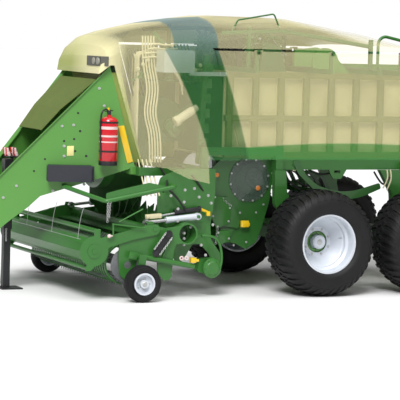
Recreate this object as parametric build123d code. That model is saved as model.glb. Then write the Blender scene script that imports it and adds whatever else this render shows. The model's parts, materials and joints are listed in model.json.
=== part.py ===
from build123d import *
from math import atan2, cos, degrees, hypot, pi, radians, sin, tan
import os

# Large square baler, towed.  Millimetres, +Z up, the drawbar points to -X and
# the left side is at -Y.  Places along X are counted from the front axle of the
# tandem, and everything is shifted at the end so that the origin lies on the
# ground under the middle of the machine.

# ---------------------------------------------------------------- driving sizes
# running gear
axle_spacing = 1200
half_track = 1070
tyre_diameter = 1066
tyre_width = 530
rim_diameter = 572
lug_height = 24
lugs_per_side = 16
hub_radius = 70
hub_ring = 110
disc_inset = 50
hub_end = 10
cap_wall = 20
axle_radius = 45
tandem_beam_width = 70

# running fits
gap = 8            # between pieces that move past one another
seat = 0.3         # between curved pieces that rest on one another
bearing_gap = 0.4  # round a shaft in its bearing

# body
body_half_width = 1250
panel_thickness = 22
panel_low = 1378
panel_high = 2440
hinge_pin = 6
panel_rear = 2480
shell_wall = 16

# bale chamber
chamber_half_width = 600
chamber_wall = 16
chamber_front = -900
chamber_rear = 2554
chamber_low = 1356
chamber_high = 2226
rib_depth = 60
rib_width = 62
rib_pitch = 286
rail_height = 62

# drawbar
drawbar_rear = -2115
drawbar_rear_half = 560
drawbar_taper = 0.344
drawbar_plate = 14
flange_width = 60
head_front = -3500
eye_reach = 170
eye_bore = 25
jack_x = -2959
plate_front = head_front + 100
head_low = 660
head_high = 985
eye_z = 820
jack_side = 70
jack_lift = 350
jack_top = 1300

# pick-up
pickup_half_width = 1120
reel_x = -2110
reel_z = 345
tine_tip = 248
bar_circle = 150
bar_side = 24
reel_shaft = 36
tine_bars = 5
tine_pitch = 64
tines_per_bar = 32
tine_thickness = 8
stripper_inner = 186
stripper_outer = 200
stripper_width = 40
feeder_x = -1480
feeder_z = 640
feeder_radius = 235
roller_x = -2470
roller_z = 485
roller_radius = 130
gauge_x = -2023
gauge_y = 1310
gauge_radius = 182
gauge_width = 130
gauge_bead = 104

# drive
flywheel_x = -2000
flywheel_z = 1480
flywheel_radius = 470
flywheel_width = 110
pto_radius = 22
pto_front = flywheel_x - 300
flywheel_hub = 110
flywheel_shaft = 40
flywheel_shaft_end = -1850

# chute
chute_pivot_z = 1180
chute_length = 1040
chute_slope = 12
chute_half_height = 45
chute_pivot_x = chamber_rear + 80

axle_z = tyre_diameter / 2
body_front = head_front - eye_reach
chute_drop = radians(chute_slope)
chute_end = chute_pivot_x + chute_length * cos(chute_drop) + chute_half_height * sin(chute_drop)
middle_x = (body_front + chute_end) / 2


# ------------------------------------------------------------------ small tools
def block(x, y, z):
    """A block between two values on each axis."""
    centre = Pos((x[0] + x[1]) / 2, (y[0] + y[1]) / 2, (z[0] + z[1]) / 2)
    return centre * Box(x[1] - x[0], y[1] - y[0], z[1] - z[0])


def side_plate(outline, y_low, y_high):
    """A flat plate between two widths from (x, z) points; a third value rounds that corner."""
    points = [(point[0], y_low, point[1]) for point in outline]
    radii = [point[2] if len(point) > 2 else 0 for point in outline]
    edge = FilletPolyline(*points, radius=radii, close=True) if any(radii) else Polyline(points, close=True)
    return extrude(make_face(edge), amount=y_high - y_low, dir=(0, 1, 0))


def rod(start, end, radius):
    """A round bar from one point to another."""
    a, b = Vector(*start), Vector(*end)
    plane = Plane(origin=a, z_dir=b - a)
    return extrude(plane * Circle(radius), amount=(b - a).length)


def cross_bar(x, z, radius, y_low, y_high):
    """A round bar across the machine."""
    return rod((x, y_low, z), (x, y_high, z), radius)


def bent_pipe(points, radius, bend):
    """A round pipe along straight runs with tangent bends."""
    path = FilletPolyline(*[Vector(*p) for p in points], radius=bend)
    plane = Plane(origin=path @ 0, z_dir=path % 0)
    return sweep(plane * Circle(radius), path=path)


def turned(profile, x, z):
    """A body turned about a cross axis from (radius, y) points."""
    face = make_face(Polyline([(r, y, 0) for r, y in profile], close=True))
    return Pos(x, 0, z) * revolve(face, Axis.Y)


def mirrored(shape):
    """The same piece on the right-hand side."""
    return mirror(shape, about=Plane.XZ)


def both(shape):
    """A left piece with its right-hand twin, as one list."""
    return [shape, mirrored(shape)]


def joined(shapes):
    """Several shapes fused into one."""
    shapes = list(shapes)
    first = shapes[0]
    return first.fuse(*shapes[1:]) if len(shapes) > 1 else first


# --------------------------------------------------------------- running gear
def many_sided(stations, sides):
    """A ruled body about the Y axis from (y, radius of the flats) stations."""
    sections = []
    for y, radius in stations:
        plane = Plane(origin=(0, y, 0), x_dir=(1, 0, 0), z_dir=(0, -1, 0))
        sections.append(plane * RegularPolygon(radius, sides, major_radius=False, rotation=180 / sides))
    return loft(sections, ruled=True)


def tyre_body(half_stations, bead, sides):
    """A tyre without its lugs, from (y, radius) stations of its outer half, shoulder first."""
    stations = [(-y, radius) for y, radius in reversed(half_stations)] + half_stations
    reach = half_stations[0][0] + half_stations[-1][0]
    return many_sided(stations, sides) - many_sided([(-reach, bead), (reach, bead)], sides)


def tyre():
    """A wide flotation tyre; each lug stands on one flat of its many-sided body."""
    half = tyre_width / 2
    crown = tyre_diameter / 2 - lug_height
    bead = rim_diameter / 2
    sides = 2 * lugs_per_side
    section = [(half * 0.70, crown), (half * 0.96, crown - 50), (half, bead + 90), (half * 0.80, bead + 4)]
    body = tyre_body(section, bead, sides)
    lug_width = 2 * crown * tan(pi / sides)
    top = tyre_diameter / 2
    lug_outline = [(crown - 6, half * 0.05), (top, half * 0.08), (top, half * 0.78),
                   (crown - 46, half * 0.955)]
    lugs = []
    for side in (-1, 1):
        face = make_face(Polyline([(r, side * y, -lug_width / 2) for r, y in lug_outline], close=True))
        lug = extrude(face, amount=lug_width, dir=(0, 0, 1))
        for i in range(lugs_per_side):
            lugs.append(Rot(0, 360 / lugs_per_side * (i + (side + 1) / 4), 0) * lug)
    return body.fuse(*lugs)


def rim(outer_side):
    """A deep wheel with a stepped dish and its hub; it opens to outer_side along Y."""
    lip, bead = rim_diameter / 2 - seat, tyre_width * 0.4
    face = bead + 12
    web = -disc_inset
    bore = axle_radius + bearing_gap
    barrel = bore + 45
    # (radius, distance outwards along Y), round the section
    section = [(lip - 4, -face), (lip + 14, -face), (lip, -bead), (lip, bead), (lip + 14, face),
               (lip - 4, face), (lip - 14, bead - 14), (lip - 16, 120), (lip - 40, 100), (lip - 42, 62),
               (lip - 56, 50), (hub_ring + 80, web + 50), (hub_ring + 40, web), (hub_ring, web),
               (hub_ring, web - 45), (hub_radius, web - 45), (hub_radius, hub_end - 10),
               (hub_radius - 12, hub_end), (0.01, hub_end), (0.01, hub_end - cap_wall),
               (bore, hub_end - cap_wall), (bore, -190), (barrel, -190), (barrel, web - 60),
               (hub_ring + 16, web - 60), (hub_ring + 16, web - 16), (hub_ring + 46, web - 16),
               (hub_ring + 90, web + 38), (lip - 60, 34), (lip - 20, 34), (lip - 14, -bead + 14)]
    return turned([(r, outer_side * y) for r, y in section], 0, 0)


def tandem_frame():
    """Box beams, cross axles and the posts that carry the frame rails."""
    inner = half_track - tyre_width / 2 - 30 - tandem_beam_width
    outer = inner + tandem_beam_width
    axle_reach = half_track + hub_end - cap_wall - 6
    beam_low, beam_high = axle_z - 75, axle_z + 75
    front_post = [(rail_front - 26, frame_low), (rail_front + 98, frame_low), (rail_front + 120, 1000, 120),
                  (80, beam_high), (-100, beam_high), (rail_front - 14, 880, 120)]
    rear_post = [(axle_spacing - 370, frame_low), (axle_spacing - 20, frame_low),
                 (axle_spacing - 100, 1000, 80), (axle_spacing, beam_high), (axle_spacing - 200, beam_high),
                 (axle_spacing - 228, 1000, 60)]
    pieces = []
    for x in (0, axle_spacing):
        for side in (-1, 1):
            pieces.append(cross_bar(x, axle_z, axle_radius, *sorted((side * inner, side * axle_reach))))
        pieces.append(block((x - 60, x + 60), (-outer, outer), (axle_z - 60, axle_z + 60)))
    for side in (-1, 1):
        y = sorted((side * inner, side * outer))
        pieces.append(block((-100, axle_spacing + 100), y, (beam_low, beam_high)))
        pieces += [side_plate(front_post, *y), side_plate(rear_post, *y)]
    return joined(pieces)


# ------------------------------------------------------------------ main frame
frame_low = chamber_low - 120
rail_inner = chamber_half_width + chamber_wall + 10
rail_width = 60
rail_front = -350
rail_rear = chamber_rear - 40
member_top = 1262
member_height = 80
shoulder_y = 690
shoulder_width = 50
shoulder_low = 1385
side_y = 900
side_thick = 16
feeder_bearing = 60
pickup_bearing = 90
# side frame that carries the pick-up, with the hooked arm behind it, as (x, z, corner radius)
side_outline = [(-1720, 1080, 60), (-1690, 1180, 60), (-1505, member_top, 80), (-1100, member_top),
                (-1100, 990), (-1141, 702), (-1130, 560, 60), (-1010, 400, 120), (-1010, 200, 40),
                (-1095, 200), (-1096, 331, 60), (-1165, 433, 60), (-1244, 514, 40), (-1330, 514, 40),
                (-1400, 400, 60), (-1440, 345), (-1500, 338, 20), (-1600, 480, 60), (-1620, 700, 60),
                (-1716, 797, 20), (-1719, 896)]
# stiffening sheet on it
sheet_outline = [(-1185, 735), (-1390, 717), (-1438, 520), (-1341, 530), (-1230, 600)]
# drive casing of the reel at the end of the hooked arm
casing_outline = [(-1310, 250, 30), (-1290, 372, 30), (-1110, 385, 60), (-1036, 300, 50), (-1110, 192, 60)]
casing_width = 94
# hanger under each rail, and its opening
hanger_outline = [(250, 1300), (312, 1172), (335, 1141, 25), (425, 1141, 25), (451, 1182), (516, 1285),
                  (560, 1300)]
hanger_opening = ((343, 412), (1200, 1228))


def main_frame():
    """Rails under the chamber, the two side frames and the members across."""
    pieces = []
    member_low = member_top - member_height
    shoulder_end = shoulder_y + shoulder_width
    for side in (-1, 1):
        rail = sorted((side * rail_inner, side * (rail_inner + rail_width)))
        pieces.append(block((rail_front, rail_rear), rail, (frame_low, chamber_low - seat)))
        outer = sorted((side * shoulder_y, side * shoulder_end))
        link = sorted((side * rail_inner, side * shoulder_end))
        pieces.append(block((-1180, rail_front + 80), outer, (shoulder_low, shoulder_low + 80)))
        pieces.append(block((-1180, -1100), outer, (member_low, shoulder_low + 80)))
        pieces.append(block((-1850, -1100), outer, (member_low, member_top)))
        pieces.append(block((rail_front, rail_front + 80), outer, (frame_low, shoulder_low + 80)))
        pieces.append(block((rail_front, rail_front + 80), link, (frame_low, chamber_low - seat)))
        plate = sorted((side * side_y, side * (side_y + side_thick)))
        sheet = sorted((side * side_y, side * (side_y + side_thick + 6)))
        hanger_y = sorted((side * (rail_inner + rail_width - 20), side * (rail_inner + rail_width)))
        hanger = side_plate(hanger_outline, *hanger_y) - block(hanger_opening[0], hanger_y, hanger_opening[1])
        pieces += [side_plate(side_outline, *plate), side_plate(sheet_outline, *sheet), hanger]
    pieces.append(side_plate(casing_outline, -side_y - side_thick - casing_width, -side_y))
    for x, reach in ((-1810, shoulder_end), (-1140, side_y + 4)):
        pieces.append(block((x - 40, x + 40), (-reach, reach), (member_low, member_top)))
    post_reach = half_track - tyre_width / 2 - 30
    for x, reach in ((60, rail_inner + 20), (axle_spacing - 60, post_reach), (2400, rail_inner + 20)):
        pieces.append(block((x - 40, x + 40), (-reach, reach), (frame_low, frame_low + 70)))
    for side in (-1, 1):
        x, z = cylinder_base
        pieces.append(cross_bar(x, z, 16, *sorted((side * (side_y + 4), side * (cylinder_y + 40)))))
        hub = sorted((side * (side_y + 2), side * (side_y + 90)))
        pieces.append(cross_bar(feeder_x, feeder_z, pickup_bearing - bearing_gap, *hub))
    hole = cross_bar(feeder_x, feeder_z, feeder_bearing + bearing_gap, -side_y - 100, side_y + 100)
    return joined(pieces) - hole


# --------------------------------------------------------------------- drawbar
def drawbar_y(x):
    """Half width of the drawbar's plates at a place along it."""
    return drawbar_rear_half + drawbar_taper * (x - drawbar_rear)


def on_plate(x, z, distance):
    """A point outside the left plate, at a distance from its face."""
    outward = Vector(-drawbar_taper, -1, 0).normalized()
    return Vector(x, -drawbar_y(x), z) + outward * distance


plate_turn = -degrees(atan2(drawbar_taper, 1))
# outline of one side plate, as (x, z)
plate_outline = [(drawbar_rear, 2253), (-3162, 1100), (plate_front, head_high), (plate_front, head_low),
                 (-3230, 560), (-3100, 628),
                 (-3011, 709), (-2847, 842), (-2737, 953), (-2552, 1017), (-2181, 1145), (-1857, 1262)]


def drawbar_side():
    """The left plate with a flange along its upper edge."""
    across = Vector(drawbar_taper, 1, 0).normalized()
    points = [(x, -drawbar_y(x), z) for x, z in plate_outline]
    plate = extrude(make_face(Polyline(points, close=True)), amount=drawbar_plate, dir=across)
    pieces = [plate]
    for a, b in ((0, 1), (1, 2)):
        p, q = Vector(*points[a]), Vector(*points[b])
        strip = make_face(Polyline([p - across * 20, q - across * 20, q + across * (flange_width - 20),
                                    p + across * (flange_width - 20)], close=True))
        down = Vector(0, 0, -1)
        pieces.append(extrude(strip, amount=drawbar_plate, dir=down))
    return joined(pieces)


def drawbar():
    """Two tapering side plates, the head in front and the plates across."""
    left = drawbar_side()
    pieces = [left, mirrored(left)]
    front_half = drawbar_y(plate_front)
    pieces.append(block((head_front, plate_front + 20), (-front_half, front_half), (head_low, head_high)))
    for x, low, high in ((plate_front + 160, head_low - 40, head_low + 60), (-2600, 1060, 1180)):
        half = drawbar_y(x - 60) - 4
        pieces.append(block((x - 60, x + 60), (-half, half), (low, high)))
    half = drawbar_y(-2230) - 4
    pieces.append(block((-2230, -2180), (-half, half), (1990, 2090)))
    foot = block((-1905, -1850), (-650, -540), (1190, member_top))
    pieces += both(foot)
    return joined(pieces)


def hitch_eye():
    """A towing ring on a shank, bolted to the drawbar's head."""
    z = eye_z
    ring_x = body_front + 62
    ring = Pos(ring_x, 0, z) * (Cylinder(62, 50) - Cylinder(eye_bore, 60))
    shank = block((ring_x + 50, head_front - seat), (-32, 32), (z - 24, z + 24))
    base = block((head_front - 26, head_front - seat), (-90, 90), (z - 110, z + 110))
    return joined([ring, shank, base])


def jack_tube():
    """The jack's outer tube, held between the drawbar's plates."""
    half = jack_side / 2 + bearing_gap
    outer = half + 8
    tube = block((jack_x - outer, jack_x + outer), (-outer, outer), (600, jack_top))
    tube -= block((jack_x - half, jack_x + half), (-half, half), (500, jack_top - 10))
    reach = drawbar_y(jack_x + outer) - drawbar_plate * hypot(1, drawbar_taper) - seat
    bar = block((jack_x + outer, jack_x + outer + 40), (-reach, reach), (900, 1000))
    return tube + bar


def jack_leg():
    """The leg that slides in the tube, with its foot on the ground."""
    half = jack_side / 2
    leg = block((jack_x - half, jack_x + half), (-half, half), (12, jack_top - jack_lift - 50))
    foot = block((jack_x - 70, jack_x + 150), (-110, 110), (0, 14))
    return leg + foot


# ----------------------------------------------------------------------- drive
def flywheel():
    """The heavy flywheel with its input stub."""
    z = flywheel_z
    half = flywheel_width / 2
    plane = Plane(origin=(flywheel_x, 0, z), z_dir=(-1, 0, 0))
    wheel = extrude(plane * Circle(flywheel_radius), amount=half, both=True)
    dish = extrude(plane.offset(half - 30) * (Circle(flywheel_radius - 70) - Circle(110)), amount=40)
    stub = rod((pto_front, 0, z), (flywheel_x, 0, z), pto_radius)
    hub = rod((flywheel_x - flywheel_hub, 0, z), (flywheel_x + 90, 0, z), 60)
    shaft = rod((flywheel_x, 0, z), (flywheel_shaft_end, 0, z), flywheel_shaft)
    return joined([wheel - dish, hub, stub, shaft])


def main_gearbox():
    """Gearbox with its rounded upper casing, side flanges and cooler."""
    box_low = 1262 + seat
    casing = block((-1880, -1480), (-230, 230), (box_low, 1760))
    upper = [(-1560, 1500), (-1560, 1860, 60), (-1460, 1960, 60), (-1260, 1880, 60), (-1220, 1500, 60)]
    casing += side_plate(upper, -330, 330)
    flange = cross_bar(-1340, 1640, 95, -420, 420)
    cooler = rod((-1345, -370, 1715), (-1130, -370, 1865), 38)
    bearing = rod((flywheel_x + 90 + gap, 0, flywheel_z), (-1870, 0, flywheel_z), 90)
    bore_end = flywheel_shaft_end + gap
    bore = rod((flywheel_x, 0, flywheel_z), (bore_end, 0, flywheel_z), flywheel_shaft + bearing_gap)
    return joined([casing, flange, cooler, bearing]) - bore


def plunger():
    """The plunger, a heavy plain block in the front of the chamber."""
    half = chamber_half_width - 10
    return block((chamber_front + 40, chamber_front + 440), (-half, half),
                 (chamber_low + chamber_wall, chamber_high - chamber_wall - 10))


# ----------------------------------------------------------------- bale chamber
def bale_chamber():
    """A ribbed box, open at the rear and at the inlet below its front."""
    inner, outer = chamber_half_width, chamber_half_width + chamber_wall
    shell = block((chamber_front, chamber_rear), (-outer, outer), (chamber_low, chamber_high))
    shell -= block((chamber_front - 10, chamber_rear + 10), (-inner, inner),
                   (chamber_low + chamber_wall, chamber_high - chamber_wall))
    shell -= block((chamber_front + 460, -320), (-inner, inner), (chamber_low - 10, chamber_low + 30))
    pieces = [shell]
    rib_out = outer + rib_depth
    rows = ((chamber_low, chamber_low + rail_height), (1755 - rail_height / 2, 1755 + rail_height / 2),
            (chamber_high - rail_height, chamber_high))
    count = int((chamber_rear - chamber_front - rib_width) / rib_pitch) + 1
    for side in (-1, 1):
        y = sorted((side * (outer - 2), side * rib_out))
        for i in range(count):
            x = chamber_front + 20 + i * rib_pitch
            pieces.append(block((x, x + rib_width), y, (chamber_low, chamber_high)))
        for low, high in rows:
            pieces.append(block((chamber_front, chamber_rear), y, (low, high)))
    return joined(pieces)


# -------------------------------------------------------------------- feed duct
cover_x = -593
cover_z = 1129
cover_radius = 226
duct_y = 640
# outline of the duct's side plates, as (x, z, corner radius)
duct_outline = [(-1030, 1230), (-984, 968), (-940, 644), (-957, 472), (-858, 501), (-735, 489),
                (-610, 424, 25), (-490, 500, 40), (-427, 669, 120), (-356, 924, 150),
                (-300, chamber_low - seat), (-890, chamber_low - seat)]
# raised plate and flap on the outside of each side plate
raised_outline = [(-930, 955), (-838, 965), (-767, 857), (-695, 704, 15), (-715, 642, 15), (-925, 674),
                  (-940, 879)]
flap_outline = [(-905, 640), (-749, 640), (-780, 563), (-885, 530)]


def feed_housing():
    """The curved duct between the feeder and the chamber: two side plates and the floor between them."""
    face, back = duct_y - 14, duct_y - 30
    hole = cross_bar(cover_x, cover_z, cover_radius - 16, -duct_y - 60, duct_y + 60)
    sides = []
    for side in (-1, 1):
        plate = side_plate(duct_outline, *sorted((side * back, side * face)))
        for outline, proud in ((raised_outline, 32), (flap_outline, 16)):
            plate += side_plate(outline, *sorted((side * (back + 5), side * (face + proud))))
        sides.append(plate - hole)
    floor = [(-945, 494), (-858, 517), (-735, 505), (-612, 446), (-505, 520), (-440, 682), (-370, 932),
             (-302, chamber_low - seat), (-322, chamber_low - seat), (-396, 942), (-466, 692), (-526, 540),
             (-618, 478), (-735, 534), (-858, 546), (-945, 522)]
    return Compound(children=sides + [side_plate(floor, -back, back)])


def housing_covers():
    """A clear round cover on each side of the duct."""
    start = duct_y - 14 + seat
    cover = cross_bar(cover_x, cover_z, cover_radius, -start - 10, -start)
    return Compound(children=both(cover))


def feeder_rotor():
    """The feeding rotor: a tube with rings of four fingers."""
    half = duct_y - 40
    pieces = [cross_bar(0, 0, feeder_bearing, -side_y - 60, side_y + 60), cross_bar(0, 0, 95, -half, half)]
    for i in range(11):
        y = -half + 40 + i * (2 * half - 80) / 10
        star = []
        for k in range(4):
            a = radians(90 * k + 12 * i)
            star.append((feeder_radius * cos(a), feeder_radius * sin(a)))
            b = a + radians(45)
            star.append((105 * cos(b), 105 * sin(b)))
        pieces.append(side_plate(star, y - 6, y + 6))
    return Pos(feeder_x, 0, feeder_z) * joined(pieces)


# ---------------------------------------------------------------------- pick-up
# side plate of the pick-up, as (x, z, corner radius)
pickup_outline = [(-2200, 640), (-2205, 420), (-2190, 250, 60), (-2120, 186, 50), (-2060, 240, 60),
                  (-1990, 440, 60), (-1800, 420, 40), (-1790, 260, 60), (-1710, 172, 50), (-1640, 210, 50),
                  (-1625, 480, 60), (-1600, 540), (-1420, 560, 30), (-1385, 640, 60), (-1430, 735, 40),
                  (-1714, 700), (-1900, 735, 40), (-2080, 700)]
pickup_thick = 14
# ends of the oval chain guard's middle line, as (x, z)
chain_ends = ((-1787, 430), (-1690, 645))
chain_half = 46


def slot_plate(ends, half, y_low, y_high):
    """A plate with two round ends."""
    (x0, z0), (x1, z1) = ends
    length = hypot(x1 - x0, z1 - z0)
    along, up = (x1 - x0) / length * half, (z1 - z0) / length * half
    corners = [(x0 - along - up, z0 - up + along), (x1 + along - up, z1 + up + along),
               (x1 + along + up, z1 + up - along), (x0 - along + up, z0 - up - along)]
    return side_plate([(x, z, half * 0.95) for x, z in corners], y_low, y_high)


def stripper():
    """One curved band round the front of the reel, about the reel's centre."""
    def ring(radius, start, stop, steps):
        return [(radius * cos(radians(start + (stop - start) * i / steps)),
                 radius * sin(radians(start + (stop - start) * i / steps))) for i in range(steps + 1)]
    outer = ring(stripper_outer, 262, 70, 12)
    inner = ring(stripper_inner, 70, 262, 12)
    tail_x, tail_z = 300, 290
    points = outer + [(tail_x, tail_z), (tail_x, tail_z - 16)] + inner
    half = stripper_width / 2
    return Pos(reel_x, 0, reel_z) * side_plate(points, -half, half)


def pickup_frame():
    """Side plates, cross tubes, strippers and the arms for the gauge wheels."""
    pieces = []
    y0, y1 = pickup_half_width, pickup_half_width + pickup_thick
    for side in (-1, 1):
        plate = side_plate(pickup_outline, *sorted((side * y0, side * y1)))
        reach = sorted((side * (side_y + side_thick + gap), side * y1))
        boss = cross_bar(feeder_x, feeder_z, pickup_bearing + 16, *reach)
        pieces += [plate, boss]
        x, z = cylinder_eye
        pieces.append(cross_bar(x, z, 12, *sorted((side * (cylinder_y - 26), side * (y0 + 4)))))
        pieces.append(side_plate([(x - 40, 690), (x + 60, 690), (x + 22, z + 22), (x - 22, z + 22)],
                                 *sorted((side * y0, side * y1))))
        arm_y = sorted((side * (y0 + 4), side * (gauge_y - gauge_width / 2 - 2 * gap)))
        pieces.append(cross_bar(gauge_x + 40, gauge_radius + 230, 28, *arm_y))
        wheel_side = gauge_y - gauge_width / 2 - 2 * gap
        leg_y = sorted((side * (wheel_side - 24), side * wheel_side))
        pieces.append(side_plate([(gauge_x - 26, gauge_radius - 30), (gauge_x + 26, gauge_radius - 30),
                                  (gauge_x + 80, gauge_radius + 270), (gauge_x, gauge_radius + 270)], *leg_y))
        stub = sorted((side * (gauge_y - gauge_width / 2 - 2 * gap - 10), side * (gauge_y + 20)))
        pieces.append(cross_bar(gauge_x, gauge_radius, 16, *stub))
        tube_y = side * (y1 + gauge_y - gauge_width / 2 - 2 * gap - 24) / 2
        tube_rear = (-1420, tube_y, gauge_radius + 140)
        pieces.append(rod((gauge_x - 30, tube_y, gauge_radius + 256), tube_rear, 26))
        pieces.append(cross_bar(-1655, gauge_radius + 185, 20, *sorted((side * (y0 + 4), tube_y))))
        guard = slot_plate(chain_ends, chain_half, *sorted((side * (y0 + 4), side * (y1 + 22))))
        guard -= slot_plate(chain_ends, chain_half - 10, *sorted((side * (y1 + 6), side * (y1 + 30))))
        pieces.append(guard)
    pieces.append(cross_bar(-1790, 660, 48, -y0 - 4, y0 + 4))
    band = stripper()
    for i in range(tines_per_bar + 1):
        pieces.append(Pos(0, (i - tines_per_bar / 2) * tine_pitch, 0) * band)
    shoe = block((-1990, -1735), (-y0 - 4, y0 + 4), (610, 622))
    swivel = cross_bar(feeder_x, feeder_z, pickup_bearing, -y1 - 10, y1 + 10)
    reel_bearing = cross_bar(reel_x, reel_z, reel_shaft + bearing_gap, -y1 - 10, y1 + 10)
    return joined(pieces + [shoe]) - swivel - reel_bearing


def tine_reel():
    """Tine bars between discs, every tine running between two strippers."""
    half = pickup_half_width - gap
    side = bar_side / 2
    bar = block((bar_circle - side, bar_circle + side), (-half + 10, half - 10), (-side, side))
    bend = bar_circle + (tine_tip - bar_circle) * 0.6
    tine = [(bar_circle, -5), (bar_circle, 6), (bend, 2), (tine_tip, -20), (tine_tip, -27), (bend, -8)]
    tines = []
    for i in range(tines_per_bar):
        y = (i - (tines_per_bar - 1) / 2) * tine_pitch
        tines.append(side_plate(tine, y - tine_thickness / 2, y + tine_thickness / 2))
    row = bar.fuse(*tines)
    rows = [Rot(0, 360 / tine_bars * k, 0) * row for k in range(tine_bars)]
    discs = [cross_bar(0, 0, bar_circle + 14, y - 5, y + 5) for y in (-half + 8, 0, half - 8)]
    shaft = cross_bar(0, 0, reel_shaft, -half - gap - pickup_thick, half + gap + pickup_thick)
    return Pos(reel_x, 0, reel_z) * shaft.fuse(*rows, *discs)


guard_pivot = (-1840, 690)
guard_y = pickup_half_width + pickup_thick + gap
guard_plate = 14


def wind_guard():
    """Two arms with round ends, the beam across and the pipe below."""
    px, pz = guard_pivot
    pieces = []
    arm_outline = [(px + 50, pz - 45, 40), (px + 50, pz + 52, 40), (px - 100, pz + 38),
                   (roller_x + 90, roller_z + 133), (roller_x - 20, roller_z + 100),
                   (roller_x + 100, roller_z + 20), (px - 250, pz - 103)]
    for side in (-1, 1):
        y = sorted((side * guard_y, side * (guard_y + guard_plate)))
        boss = sorted((side * guard_y, side * (guard_y + guard_plate + 8)))
        pieces.append(side_plate(arm_outline, *y))
        pieces.append(cross_bar(roller_x, roller_z, roller_radius + 16, *y))
        pieces.append(cross_bar(roller_x, roller_z, 68, *boss))
    inner = guard_y + 4
    pieces.append(cross_bar(roller_x + 30, roller_z + 190, 26, -inner, inner))
    pieces.append(cross_bar(roller_x - 60, roller_z - 165, 20, -inner, inner))
    for side in (-1, 1):
        y = sorted((side * guard_y, side * (guard_y + guard_plate)))
        pieces.append(side_plate([(roller_x - 85, roller_z - 190), (roller_x - 30, roller_z - 190),
                                  (roller_x + 40, roller_z - 110), (roller_x - 60, roller_z - 90)], *y))
        pieces.append(side_plate([(roller_x, roller_z + 130), (roller_x + 60, roller_z + 130),
                                  (roller_x + 60, roller_z + 215), (roller_x, roller_z + 215)], *y))
    bore = cross_bar(px, pz, 20 + bearing_gap, -2000, 2000)
    axle = cross_bar(roller_x, roller_z, 26 + bearing_gap, -2000, 2000)
    return joined(pieces) - bore - axle


def guard_pins():
    """Pivot pins of the wind guard on the pick-up's side plates."""
    px, pz = guard_pivot
    inner, outer = pickup_half_width + 2, guard_y + guard_plate + 6
    return [cross_bar(px, pz, 20, *sorted((side * inner, side * outer))) for side in (-1, 1)]


def crop_roller():
    """A many-sided roller in front of the reel."""
    half = guard_y - gap
    sides = 10
    outline = [(roller_radius * cos(2 * pi * k / sides), roller_radius * sin(2 * pi * k / sides))
               for k in range(sides)]
    drum = side_plate(outline, -half, half)
    axle = cross_bar(0, 0, 26, -guard_y - guard_plate - 14, guard_y + guard_plate + 14)
    return Pos(roller_x, 0, roller_z) * (drum + axle)


def gauge_tyre():
    """A small smooth tyre."""
    half = gauge_width / 2
    r = gauge_radius
    return tyre_body([(half - 30, r), (half, r - 34), (half - 14, gauge_bead + 4)], gauge_bead, 16)


def gauge_rim(side):
    """Its pressed wheel with a hub."""
    half = gauge_width / 2
    bore = 16 + bearing_gap
    section = [(gauge_bead - seat, -half + 10), (108 - seat, -half + 2), (92, -half + 2), (84, 8), (50, 0),
               (40, -30), (bore, -30), (bore, 46), (24, 46), (24, 62), (40, 62), (44, 20), (84, 26),
               (90, half - 2), (108 - seat, half - 2), (gauge_bead - seat, half - 10)]
    return turned([(r, side * y) for r, y in section], 0, 0)


# ---------------------------------------------------------------- lift cylinders
cylinder_y = (side_y + side_thick + pickup_half_width) / 2
cylinder_base = (-1330, 800)
cylinder_eye = (-1880, 745)
cylinder_radius = 32
rod_radius = 16


def lift_barrel():
    """A barrel along -X from its base pin at the origin of its own frame."""
    length = cylinder_span * 0.62
    return joined([rod((-20, 0, 0), (-length, 0, 0), cylinder_radius), cross_bar(0, 0, 34, -22, 22)]) \
        - cross_bar(0, 0, 16 + bearing_gap, -40, 40) - rod((-60, 0, 0), (-length - 10, 0, 0), rod_radius + 1)


def lift_rod():
    """The rod with its eye."""
    start = 150
    return joined([rod((-start, 0, 0), (-cylinder_span + 24, 0, 0), rod_radius),
                   cross_bar(-cylinder_span, 0, 30, -18, 18)]) - cross_bar(-cylinder_span, 0, 15, -40, 40)


cylinder_span = hypot(cylinder_base[0] - cylinder_eye[0], cylinder_base[1] - cylinder_eye[1])
cylinder_tilt = degrees(atan2(cylinder_base[1] - cylinder_eye[1], cylinder_base[0] - cylinder_eye[0]))


def placed_cylinder(shape, side):
    """A cylinder piece put between its two pins."""
    x, z = cylinder_base
    return Pos(x, side * cylinder_y, z) * Rot(0, -cylinder_tilt, 0) * shape


# -------------------------------------------------------------------- knotters
knotter_x = -380
knotter_pitch = 190
knotter_places = [k * knotter_pitch for k in (-2.5, -1.5, -0.5, 0.5, 1.5, 2.5)]


def knotter_table():
    """Shaft, six knotters, their fans and the drive cover on the chamber."""
    deck = chamber_high + seat
    pieces = [block((knotter_x - 130, knotter_x + 190), (-560, 560), (deck, deck + 26)),
              cross_bar(knotter_x, deck + 190, 28, -590, 590)]
    for y in knotter_places:
        pieces.append(cross_bar(knotter_x, deck + 190, 105, y - 14, y + 14))
        pieces.append(block((knotter_x - 90, knotter_x + 60), (y + 18, y + 62), (deck + 10, deck + 230)))
        pieces.append(block((knotter_x + 20, knotter_x + 150), (y + 24, y + 44), (deck + 10, deck + 150)))
    for side in (-1, 1):
        y = sorted((side * 580, side * 596))
        pieces.append(side_plate([(knotter_x - 120, deck), (knotter_x + 180, deck),
                                  (knotter_x + 110, deck + 260), (knotter_x - 80, deck + 300)], *y))
    return joined(pieces)


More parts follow.
